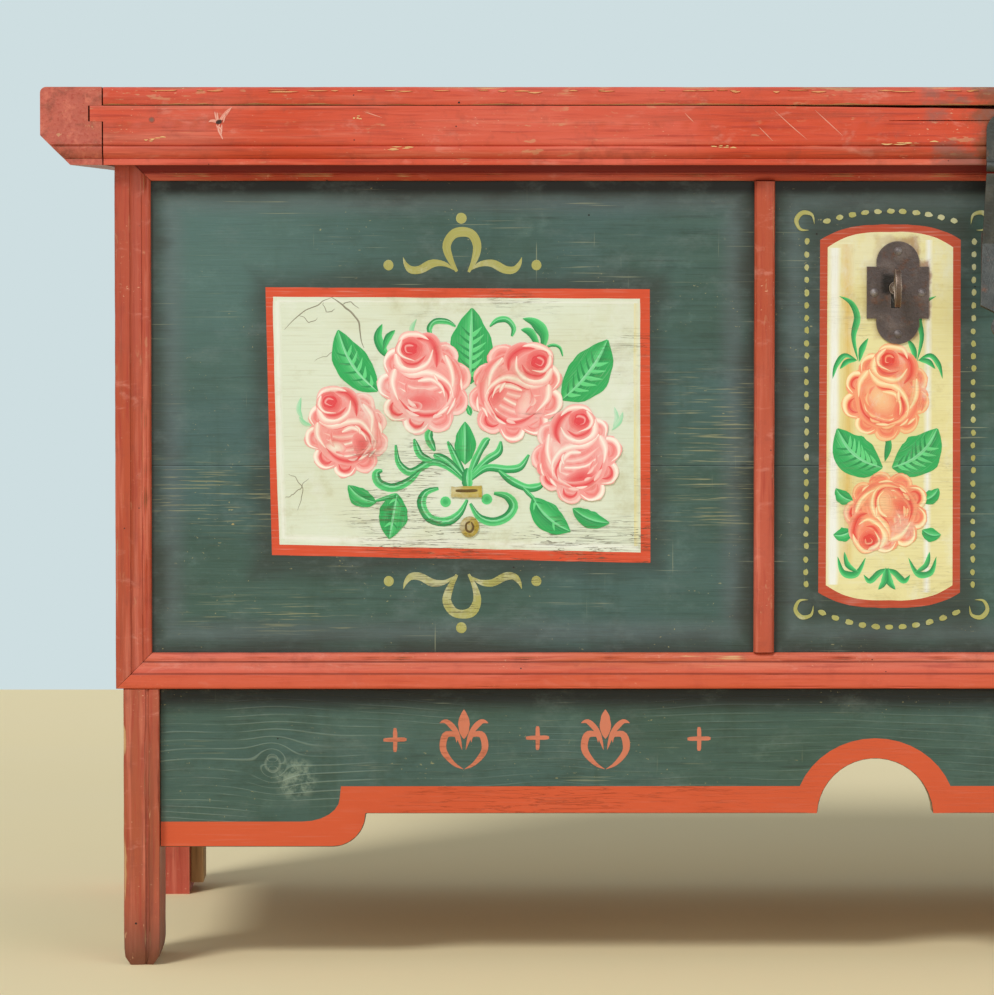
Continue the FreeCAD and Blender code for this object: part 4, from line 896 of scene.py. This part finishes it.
def rose(c, x, z, radius, turn, flip, tones, spots, red_petals):
    """A round folk rose: scalloped petals, a bowl, a curled lip and a bud that looks up and to the left."""
    deep, mid, base, light, white = (tones[k] for k in ("deep", "mid", "base", "light", "white"))
    soft = tone_between((mid, base), 0.5)
    gleam = (base, light, white, light, base)
    blush = (base, mid, deep, mid, base)
    c.at(x, z, radius, turn, flip)
    c.shake = 0.015
    for k in range(8):
        out = radians(52 - 38.5 * k)
        ux, uz = cos(out), sin(out)
        px, pz = 0.65 * ux, 0.7 * uz
        r = 0.29 + 0.05 * drift(x * 0.1, z * 0.1, k * 1.7)
        c.blob(px, pz, r, r, mid, base, shade=(-0.12 * ux, -0.12 * uz), wobble=0.2)
        fold = blush if k in red_petals else (base, soft, mid, soft, base)
        rim = (base, light, white, white, light) if ux < 0.3 else (base, base, light, light, base)
        for share, half, petal, shape, turns in ((0.52, 0.3, fold, "moon", (-1.6, -0.8, 0.0, 0.8, 1.6)),
                                                 (0.84, 0.2, rim, "comma", (-1.6, -0.8, -0.1, 0.6, 1.4))):
            arc = round_path(px, pz, r * share, r * share, (out + a for a in turns))
            c.stroke(arc, r * half, petal, shape, 12)
    c.shake = 0.05
    c.blob(0.0, -0.06, 0.66, 0.64, mid, base, shade=(0.0, -0.12), wobble=0.1)
    for k in range(4):
        low, pull = 0.15 * k, 0.05 * k
        fold = [(-0.52 + pull, 0.1 - low), (-0.18, -0.06 - low), (0.2, -0.04 - low), (0.52 - pull, 0.1 - low)]
        c.stroke(fold, 0.07, (soft, base, white if k % 2 else light, base, soft), "moon", 14)
    for tone, sx, sz, rx, rz, tilt in spots:
        c.blob(sx, sz, rx, rz, tones[tone], soft, tilt, wobble=0.25)
    c.stroke([(-0.5, -0.26), (-0.3, -0.5), (0.0, -0.6), (0.34, -0.5), (0.52, -0.22)], 0.1, blush, "moon")
    c.stroke([(0.28, 0.74), (0.54, 0.46), (0.65, 0.04), (0.54, -0.36), (0.22, -0.6)], 0.13,
             (base, mid, soft, light, base), "leaf")
    c.stroke([(0.44, 0.6), (0.57, 0.3), (0.58, 0.0), (0.48, -0.3)], 0.06, gleam, "comma")
    c.stroke([(-0.58, 0.34), (-0.64, 0.04), (-0.52, -0.28)], 0.08, gleam, "comma")
    c.stroke([(-0.52, 0.27), (-0.24, 0.13), (0.06, 0.17), (0.28, 0.08), (0.46, -0.12), (0.48, -0.34)],
             0.09, blush, "moon", 20)
    c.stroke([(-0.57, 0.37), (-0.28, 0.22), (0.04, 0.26), (0.32, 0.18), (0.52, -0.02), (0.57, -0.26)],
             0.09, gleam, "comma", 20)
    c.stroke([(-0.1, 0.06), (0.14, 0.1), (0.36, -0.03), (0.42, -0.24)], 0.055, gleam, "comma")
    c.blob(-0.18, 0.62, 0.42, 0.37, mid, base, wobble=0.12)
    c.stroke([(-0.16, 0.96), (0.12, 0.88), (0.28, 0.62), (0.24, 0.36)], 0.15, blush, "leaf")
    c.stroke([(-0.57, 0.66), (-0.46, 0.40), (-0.14, 0.33), (0.1, 0.46), (0.17, 0.70)],
             0.1, gleam, "comma", 18)
    c.stroke([(-0.5, 0.62), (-0.36, 0.46), (-0.12, 0.45), (0.04, 0.60)], 0.09, blush, "moon")
    c.stroke([(-0.56, 0.74), (-0.42, 0.98), (-0.1, 1.02), (0.1, 0.92)], 0.07, gleam, "moon")
    c.blob(-0.27, 0.72, 0.25, 0.24, deep, mid, wobble=0.2)
    c.blob(-0.28, 0.73, 0.15, 0.14, deep, deep, wobble=0.3)
    c.stroke([(-0.44, 0.9), (-0.51, 0.7), (-0.4, 0.53), (-0.18, 0.5)],
             0.06, (mid, white, mid), "comma", 12, 2)
    c.stroke([(-0.2, 0.79), (-0.29, 0.82), (-0.36, 0.75), (-0.32, 0.66), (-0.22, 0.66)],
             0.035, (deep, base, deep), "comma", 14, 2)
    for k in range(12):
        a, b, d = (drift(x * 0.37 + k * 1.9, z * 0.31, step) for step in (0.5, 3.5, 8.5))
        angle = radians(30 - 230 * ((k * 0.382) % 1)) + a
        far = 0.3 + 0.55 * ((k * 0.618) % 1)
        reach = (0.1 + 0.12 * abs(b)) / far
        arc = round_path(0, -0.04, far, far, (angle - reach, angle, angle + reach))
        c.stroke(arc, 0.03 + 0.03 * abs(d), (base, (white, light, mid)[k % 3], base), "moon", 8, 2)
    c.shake = 0.0
    c.at(0, 0)


def foliage(c, base, tip, half, bend, veins):
    """A leaf in two halves, one light and one dark, with a pale rib and veins."""
    b, t = Vector(base), Vector(tip)
    side = Vector((-(t - b).y, (t - b).x)) * bend
    path = [b, b.lerp(t, 0.33) + side, b.lerp(t, 0.67) + side, t]
    c.stroke(path, half, (leaf, leaf, leaf_light), "leaf", 18, 3, (1.0, 0.0))
    c.stroke(path, half, (leaf_dark, leaf, leaf), "leaf", 18, 3, (0.0, 1.0))
    for k in range(veins):
        at = 0.12 + 0.5 * k / (veins - 1)
        rib = between(path, at)
        ahead = (between(path, at + 0.02) - rib).normalized()
        out = Vector((ahead.y, -ahead.x))
        reach = half * (0.74 - 1.1 * abs(at - 0.4))
        for way, tone, wide in ((1, leaf_light, 0.1), (-1, tone_between((leaf, leaf_dark), 0.6), 0.06)):
            end = rib + out * reach * way + ahead * half * 0.5
            vein = [rib + ahead * 0.4, rib.lerp(end, 0.5) - ahead * 0.3, end]
            c.stroke(vein, half * wide, (tone, tone), "comma", 8, 2)
    c.stroke(path, half * 0.09, (leaf_pale, leaf_light), "moon", 12, 2)


def omega(c, foot, way):
    """A horseshoe loop with two curling arms and three dots."""
    arm = [(6.5, 1), (14.5, 6), (24.5, 6.6), (34.5, 1.6), (42, 1.4), (46.5, 6), (48.5, 11.5)]
    loop = [(-4.6, 0), (-10, 10), (-13, 21), (-8, 30), (0, 32.4), (8, 30), (12, 21), (10, 10), (5, -0.5)]
    for flip in (1, -1):
        c.at(2.7, foot, 1.0, 0.0, flip)
        c.stroke([(x, way * z) for x, z in arm], 3.3, (olive, olive), "leaf", 22, 2)
        c.blob(60.5, way * 5.2, 4.1, 4.3, olive, olive, spokes=16)
    c.at(2.7, foot)
    c.stroke([(x, way * z) for x, z in loop], 3.7, (olive, olive), "swell", 30, 2)
    c.blob(-1, way * 43.5, 4.4, 4.6, olive, olive, spokes=16)
    c.at(0, 0)


def bordered_field(c, corners, arch, inset, border, fill):
    """A field with a red border. corners start at the lower left; inset is left, right, low, high."""
    low_left, low_right, high_right, high_left = (Vector(p) for p in corners)

    def outline(left, right, low, high):
        bottom, top = [], []
        for k in range(33):
            u = k / 32
            rise = arch * (1 - abs(2 * u - 1) ** 3)
            shake = 0.35 * drift(k * 0.5, left, high_left.y)
            a = (low_left + Vector((left, low))).lerp(low_right + Vector((-right, low)), u)
            b = (high_left + Vector((left, -high))).lerp(high_right + Vector((-right, -high)), u)
            bottom.append((a.x, a.y - rise + shake))
            top.append((b.x, b.y + rise - shake))
        return bottom, top

    c.lift = 0.00008
    c.strip(*outline(0, 0, 0, 0), border)
    c.lift = 0.00013
    c.strip(*outline(*inset), fill)
    c.lift = 0.00016


# Lines of the cream field's painting, each with the half width of its stroke
crack_lines = (
    (0.4, [(-143, 77), (-131, 90), (-116, 98), (-104, 104)]),
    (0.7, [(-104, 104), (-92, 95), (-83, 84), (-79, 62)]),
    (0.3, [(-112, 100), (-108, 92), (-101, 94)]), (0.3, [(-131, 90), (-122, 84), (-116, 87)]),
    (0.35, [(-96, 98), (-90, 100), (-82, 95)]), (0.3, [(-140, -40), (-128, -52), (-132, -70)]),
    (0.3, [(-124, -44), (-134, -56), (-143, -60)]), (0.25, [(-118, 52), (-104, 58), (-96, 55)]),
)
stem_lines = (
    (2.9, [(6.5, -48), (-1, -32), (-9.5, -14)]), (3.8, [(5, -46), (-10, -31), (-21, -25)]),
    (3.2, [(-20, -22), (-25, -11), (-23, -4)]),
    (3.2, [(4, -47), (-10, -35), (-23, -31), (-34, -37), (-42, -39), (-50, -31), (-52, -17)]),
    (2.8, [(-22, -30), (-32, -25), (-37, -12)]),
    (3.6, [(-32, -38), (-42, -47), (-55, -52), (-66, -48), (-68, -40), (-63, -38)]),
    (2.9, [(6.5, -48), (13, -30), (21, -15), (25, -12)]), (3.0, [(8, -44), (22, -30), (32, -23), (34, -14)]),
    (3.2, [(9, -46), (22, -36), (39, -37), (50, -35), (57, -25)]),
    (3.2, [(32, -38), (42, -46), (55, -52), (65, -51), (70, -46)]),
    (1.8, [(-69, -63), (-58, -60), (-51, -57)]), (1.8, [(52, -52), (58, -58), (62, -62)]),
    (3.8, [(-17, -52.6), (-27.5, -56), (-31, -65.5), (-24.5, -77), (-11, -80), (0, -73.5), (6.5, -62)]),
    (3.8, [(28.5, -56.6), (39, -59), (44.5, -67), (39, -76), (27.5, -80), (16, -76), (9, -65)]),
    (2.3, [(25, 80), (31, 85), (39, 85.5), (44.5, 79), (43, 72)]),
    (2.3, [(-3, 80), (-10, 84), (-20, 84), (-24.5, 78), (-22, 71)]),
    (1.2, [(67, 60), (75, 64.6), (82, 63), (84.7, 55.7)]), (4.2, [(7, -36), (6.5, -45), (7, -54)]),
)
blade_lines = (
    (4.6, [(52, 86.5), (62, 83), (69.5, 72.5), (67, 58)]), (3.2, [(50.5, 77.5), (59, 74.5), (66, 60)]),
    (4.0, [(-63, 82), (-66.5, 71.5), (-62, 60), (-54, 53)]), (2.8, [(-52.5, 77), (-58.5, 70.5), (-62, 60)]),
)
pale_lines = (
    [(127, 14), (129, 5), (126, -2)], [(134, 10), (131, 2), (125, -5)],
    [(-129.5, 22), (-131.5, 12), (-128, 4)], [(-131, 6), (-127, 1), (-121, -1)],
    [(-35, 86), (-39, 78), (-36, 70)],
)


def bouquet(x, flip, name, material):
    """A cream field with four roses, leaves and scrolls, and an olive ornament above and below."""
    c = Canvas(x, field_z, flip)
    bordered_field(c, [(-153.5, -107.2), (156.7, -113.8), (155.9, 110.5), (-158.4, 112.1)], 0.0,
                   (6.2, 8.0, 8.6, 7.8), red_film, cream)
    soft = tone_between((cream, cream_white), 0.7)
    c.stroke([(-144, -94), (-147, 0), (-149, 101)], 3.4, (cream, soft, cream), "even", 16)
    c.stroke([(-143, -93), (0, -97.5), (147, -101)], 4.0, (cream, soft, cream), "even", 24)
    c.stroke([(-149, 101.5), (0, 101), (146, 100)], 1.5, (cream, soft), "even", 24, 2)
    c.stroke([(146, -100), (145.5, 0), (145.5, 99)], 2.6, (cream_yellow, cream), "even", 16, 2)
    ground = tone_between((cream, rgb(104, 88, 66)), 0.75)
    c.shake = 2.0
    for half, line in crack_lines:
        c.stroke([between(line, k / 9) for k in range(10)], half, (ground, ground), "swell", 36, 1)
    c.shake = 0.0
    c.lift = 0.0002
    for half, path in stem_lines:
        c.stroke(path, half, leaf_tones, "swell", 20)
        shine = [Vector(p) + Vector((0.4, 0.5)) for p in path]
        c.stroke(shine, half * 0.25, (leaf_light, leaf_pale), "moon", 16, 2)
    for dot in ((-11.3, -63.6), (22.6, -61.5)):
        c.blob(*dot, 4.4, 4.4, leaf, leaf_light, spokes=16)
    for half, path in blade_lines:
        c.stroke(path, half, leaf_tones, "moon", 18)
    for path in pale_lines:
        c.stroke(path, 1.9, (leaf_pale, tone_between((leaf_pale, cream), 0.5)), "moon", 10, 2)
    c.lift = 0.0003
    for base, tip, half, bend, veins in (
            ((4.8, -33), (4.8, 2), 8.4, 0.0, 0), ((9.5, 7), (6.5, 16), 2.4, 0.0, 0),
            ((9, 33), (10.5, 95), 17.0, 0.0, 6), ((84, 20), (121.5, 69), 17.0, -0.06, 6),
            ((-67, 27), (-99, 77), 14.5, 0.08, 5), ((-68, -64), (-91, -50), 7.6, 0.1, 0),
            ((-51, -57), (-57.5, -94), 11.5, 0.0, 2), ((60, -60), (91, -88), 11.0, -0.08, 2),
            ((93, -69), (123, -81), 7.0, -0.08, 0)):
        foliage(c, base, tip, half, bend, veins)
    c.lift = 0.00038
    rose(c, -92, -7.4, 37, 8, 1, pinks,
         (("rosy", 0.3, -0.3, 0.22, 0.3, 0), ("white", -0.3, -0.28, 0.24, 0.14, -20)), (4, 5))
    rose(c, -29, 32, 41, 0, 1, pinks,
         (("rosy", -0.05, -0.34, 0.46, 0.24, 0), ("deep", -0.2, -0.42, 0.16, 0.1, 0)), (4, 5))
    rose(c, 46, 26, 41, -16, -1, pinks,
         (("rosy", 0.36, -0.1, 0.2, 0.36, 10), ("light", -0.26, -0.2, 0.18, 0.3, 0)), (3,))
    rose(c, 96, -27, 39, 14, -1, pinks,
         (("deep", 0.0, -0.44, 0.42, 0.18, 0), ("light", 0.36, 0.16, 0.14, 0.36, 0)), (2, 3, 5))
    gold, gold_dark = rgb(172, 148, 36), rgb(98, 74, 24)
    c.stroke([(-6.5, -55.4), (6, -55.4), (18.5, -55)], 4.6, (gold, rgb(192, 170, 62), gold), "even", 12)
    c.stroke([(-3, -54.4), (6, -54.6), (15, -54.2)], 1.3, (gold_dark, gold_dark), "band", 8, 2)
    c.blob(8.4, -84, 7.8, 8.4, gold, gold, spokes=20)
    ring = round_path(8.4, -84, 3.1, 4.3, (1.4, 2.6, 3.8, 5.0, 6.2, 7.4))
    c.stroke(ring, 0.9, (gold_dark, gold_dark), "band", 18, 2)
    c.lift = 0.0001
    omega(c, 125, 1)
    omega(c, -123.5, -1)
    c.make(name, material)


# Sprigs of the tall fields, with the half width of their strokes; each has a mirrored twin
sprig_lines = (
    (2.8, [(-39.7, 99.5), (-30, 94), (-25, 82), (-28, 66), (-24, 46)]),
    (2.4, [(-16, 65), (-21, 56), (-23, 46)]),
    (2.2, [(-25, 47), (-35, 51), (-42, 43), (-45, 32)]), (2.2, [(-25, 47), (-33, 46), (-39, 40)]),
    (2.8, [(-17.6, -115), (-25, -128), (-36, -127), (-40.5, -114)]),
    (2.2, [(-35, -110), (-32, -121), (-23, -127)]),
    (2.6, [(2, -124), (-6, -127), (-14, -134), (-19, -129)]), (2.8, [(1, -123), (2, -134), (7, -141)]),
)


def tall_field(x, flip, name, material):
    """A yellow field with arched ends, two roses, sprigs and a dotted border with corner rings."""
    c = Canvas(x, tall_z, flip)
    ground, gold, shine = cream_yellow, rgb(222, 192, 112), cream_white
    bordered_field(c, [(-58.3, -143.5), (58.0, -143.5), (57.5, 145.5), (-57.5, 145.5)], 12.5,
                   (6.2, 6.2, 6.0, 6.0), rgb(186, 72, 42), ground)
    c.stroke([(-36, -120), (-34, 0), (-36, 142)], 7.0, (ground, gold, ground), "even", 24)
    c.stroke([(-46.5, -137), (-46, 0), (-45.5, 139)], 5.2, (ground, shine, shine, ground), "even", 24, 3)
    c.stroke([(30.5, -143.5), (31, 0), (31.5, 145.5)], 3.8, (ground, shine, ground), "even", 24)
    c.lift = 0.0002
    for half, path in sprig_lines:
        for way in (1, -1):
            c.at(-2, 0, 1.0, 0.0, way)
            c.stroke(path, half, leaf_tones, "moon", 18)
    c.at(0, 0)
    c.stroke([(-3.5, -12), (-1, -22), (-4, -36)], 2.8, (leaf, leaf_dark), "moon", 12)
    for base, tip, half, veins in (((-6, -41), (-43, -9), 16.0, 6), ((-30, -68), (-44, -58), 5.6, 0),
                                   ((-31, -92), (-46, -96), 5.6, 0)):
        foliage(c, base, tip, half, 0.12, veins)
        foliage(c, (-4 - base[0], base[1]), (-4 - tip[0], tip[1]), half, -0.12, veins)
    c.lift = 0.0003
    rose(c, -3, 18, 38, -24, 1, oranges,
         (("light", -0.1, -0.1, 0.44, 0.32, -30), ("rosy", 0.42, -0.1, 0.16, 0.36, 0)), (5, 6))
    rose(c, -2.5, -77, 35, 128, 1, oranges,
         (("light", 0.24, -0.03, 0.4, 0.32, 0), ("rosy", -0.17, -0.37, 0.3, 0.2, 0)), (0, 4))
    # Painted shadow: a near-black film over the keyhole stands in for the shade inside the hole.
    if flip > 0:
        c.lift = 0.0005
        c.blob(4.1, 103.0, 8.0, 18.0, hole_and_shade_black, hole_and_shade_black)
    c.lift = 0.0001
    for k in range(28):
        for side in (-68.4, 68.4):
            shift = drift(k * 1.3, side, 0.0)
            dot_x, dot_z = side + 0.5 * shift, 144 - 10.4 * k + shift
            c.blob(dot_x, dot_z, 2.0, 2.7 + 0.5 * shift, olive, olive, spokes=10, wobble=0.3)
    for k in range(11):
        u = k / 5 - 1
        c.blob(52 * u, 169 - 8 * u * u, 3.2, 2.2, olive, olive, -17 * u, 10, wobble=0.3)
        c.blob(55 * u, -172 + 12 * u * u, 3.4, 2.3, olive, olive, 24 * u, 10, wobble=0.3)
    for way, ring_x in ((1, -69.5), (-1, 73.0)):
        for ring_z, up in ((160.5, 1), (-156.5, -1)):
            ring = round_path(ring_x, ring_z, way * 7.6, up * 7.6, (-0.3, 0.8, 1.9, 3.0, 4.1, 5.1))
            c.stroke(ring, 1.9, (olive, olive), "moon", 24, 2)
    c.make(name, material)


def apron_paint(flip, name, material):
    """The red band along the apron's lower edge, with crosses and fleurons in coral."""
    c = Canvas(0.0, 0.0, flip)
    step_turns = [radians(15 * k - 90) for k in range(1, 7)]
    low = [(-688, 97.3), (-600, 97.3), (-547, 97.3)] + round_path(-547, 124.2, 27, 27, step_turns)
    low += [(-519, 124.7), (-400, 124.7), (-160, 124.7)]
    low += round_path(-101.2, 121.7, 48, 48, (radians(177 - k * 10.875) for k in range(17)))
    low += [(-30, 124.7), (0, 124.7)]
    high = [(-688, 117.5), (-600, 117.5), (-572, 117.5)] + round_path(-572, 137, 31, 19.5, step_turns)
    high += [(-540, 146.6), (-400, 146.6), (-163.5, 146.6)]
    high += round_path(-101.2, 124, 66.5, 62, (radians(158.6 - k * 8.575) for k in range(17)))
    high += [(-30, 146.6), (0, 146.6)]
    c.strip(low, high, rgb(206, 84, 44))
    for x, z in ((-495.6, 184.7), (-378.6, 186.3), (-246.0, 185.5)):
        c.stroke([(x - 9.5, z), (x, z + 0.3), (x + 9.5, z + 0.4)], 1.7, (coral, coral), "band", 8, 2)
        c.stroke([(x, z - 9.8), (x + 0.2, z), (x, z + 9.8)], 1.7, (coral, coral), "band", 8, 2)
    for x, z in ((-439.0, 184.7), (-322.9, 184.7)):
        for way in (1, -1):
            c.at(x, z, 1.0, 0.0, way)
            curl = [(0.5, -24), (9, -19), (17, -8), (15, 4), (7, 4), (6, -2)]
            c.stroke(curl, 2.9, (coral, coral), "moon", 22, 2)
            c.stroke([(1.5, -8), (6, 6), (14, 15), (20, 14)], 2.4, (coral, coral), "moon", 16, 2)
        c.at(x, z)
        c.stroke([(0, 1), (0, 13), (0, 25)], 4.6, (coral, coral), "leaf", 14, 2)
    c.make(name, material)


def lid_marks(name, material):
    """Scratches, a nail with bruised paint and worn places on the lid's front."""
    c = Canvas(0.0, 0.0, 1, lid_front)
    c.lift = 0.0003
    scratch, sand = rgb(226, 150, 128), rgb(226, 170, 104)
    for path in ([(-188, 701), (-174, 688), (-160, 676)], [(-155, 701), (-143, 690), (-131, 679)],
                 [(-200, 687), (-188, 675)], [(-260, 698), (-252, 690)], [(-520, 699), (-505, 694)]):
        c.stroke(path, 0.35, (scratch, scratch), "moon", 12, 1)
    c.shake = 2.2
    for end_x, end_z, count in ((-627, 703, 5), (-635, 677, 4), (-647, 692, 3), (-640, 698, 2)):
        for k in range(count):
            start, end = Vector((-637 + 1.4 * (k % 3 - 1), 690.0)), Vector((end_x, end_z))
            path = [start.lerp(end, t) for t in (0.1, 0.5, 1 - 0.12 * k)]
            c.stroke(path, 0.9, (rgb(214, 104, 84), rgb(238, 186, 170), rgb(216, 110, 90)), "swell", 12, 2)
    c.shake = 0.0
    c.blob(-637.5, 690.6, 2.6, 1.8, hole_and_shade_black, rgb(90, 50, 40), 20, 14)
    c.blob(-692, 692.4, 2.4, 2.2, rgb(120, 96, 84), rgb(170, 80, 62), 0, 14)
    for x, z, reach in ((-490, 669.5, 18), (-526, 694, 5), (-78, 674, 20), (-690, 676, 8), (-230, 671, 9),
                        (330, 671, 16), (560, 690, 9)):
        for k in range(7):
            a, b = (drift(x + k * 2.3, step, 4.0) for step in (1.5, 6.5))
            long = reach * (0.15 + 0.3 * abs(b))
            c.dash(x + reach * a * 1.6, z + 3 * b, long, a, 0.3 + 0.4 * abs(a), (sand, rgb(232, 196, 140)))
    for k in range(70):
        a, b = (drift(k * 3.3, step, 2.0) for step in (0.5, 7.5))
        x = 1380 * (k / 69 - 0.5) + 60 * b
        z = 716.5 - 7 * abs(a * b) - 1.5 * abs(b)
        c.dash(x, z, 2 + 16 * abs(a), b, 0.2 + 0.7 * abs(b), (rgb(228, 158, 112), sand))
    c.make(name, material, "lid", "painted_red_wood")


oil_paint = film_paint("painted_strokes")
bouquet(-field_x, 1, "bouquet_left", oil_paint)
bouquet(field_x, -1, "bouquet_right", oil_paint)
tall_field(-tall_x, 1, "tall_field_left", oil_paint)
tall_field(tall_x, -1, "tall_field_right", oil_paint)
band_paint = film_paint("painted_band", 0.06, 0.1)
apron_paint(1, "apron_band_left", band_paint)
apron_paint(-1, "apron_band_right", band_paint)
lid_marks("lid_marks", band_paint)

# Camera at the photograph's place, turned a little down and to the right
camera_down = 2.786
camera_right = 0.266
camera_data = bpy.data.cameras.new("camera")
camera_data.sensor_fit = "HORIZONTAL"
camera_data.sensor_width = 36
camera_data.lens = 210.97
camera_data.clip_end = 100
camera = add_object("camera", camera_data)
camera.location = (-0.434, -5.0364, 0.616)
camera.rotation_euler = (radians(90 - camera_down), 0, radians(-camera_right))
scene.camera = camera

# Plain floor that ends behind the chest
floor_side = 9
floor_back = 2.5
floor_corners = [(x, y, 0) for y in (-floor_side, floor_back) for x in (-floor_side, floor_side)]
floor_mesh = bpy.data.meshes.new("floor")
floor_mesh.from_pydata(floor_corners, [], [(0, 1, 3, 2)])
floor = add_object("floor", floor_mesh)
f = Finish("floor")
f.colour = f.over(rgb(248, 232, 184), rgb(236, 230, 214), f.noise(2.5, 3.0, 0.55, (0.3, 1, 1)), 0.15)
f.close(0.85, f.noise(60), 0.0002, specular=0.2)
floor_mesh.materials.append(f.material)


def lamp(name, place, aim, spread, strength):
    """A broad soft light from far away, so that the floor is lit evenly."""
    data = bpy.data.lights.new(name, "SUN")
    data.angle = radians(spread)
    data.energy = strength
    made = add_object(name, data)
    made.location = place
    made.rotation_euler = (Vector(aim) - Vector(place)).to_track_quat("-Z", "Y").to_euler()


lamp("key", (-2.3, -3.7, 4.0), (-0.3, 0, 0.4), 16, 1.7)
lamp("fill", (2.8, -4.2, 1.8), (0.2, 0, 0.4), 35, 0.65)

# The backdrop is a pale blue wall for the camera and for reflections, and a soft sky for light
world = bpy.data.worlds.new("world")
world.use_nodes = True
sky = world.node_tree
light = sky.nodes["Background"]
light.inputs["Color"].default_value = (0.92, 0.96, 1.0, 1.0)
light.inputs["Strength"].default_value = 0.38
wall = sky.nodes.new("ShaderNodeBackground")
wall.inputs["Color"].default_value = rgb(206, 222, 225)
wall.inputs["Strength"].default_value = 1.0
rays = sky.nodes.new("ShaderNodeLightPath")
seen = rays.outputs["Is Camera Ray"]
for kind in ("Is Glossy Ray", "Is Transmission Ray"):
    either = sky.nodes.new("ShaderNodeMath")
    either.operation = "MAXIMUM"
    sky.links.new(seen, either.inputs[0])
    sky.links.new(rays.outputs[kind], either.inputs[1])
    seen = either.outputs[0]
both = sky.nodes.new("ShaderNodeMixShader")
for source, place in ((seen, 0), (light.outputs[0], 1), (wall.outputs[0], 2)):
    sky.links.new(source, both.inputs[place])
sky.links.new(both.outputs[0], sky.nodes["World Output"].inputs["Surface"])
scene.world = world
scene.view_settings.view_transform = "Standard"
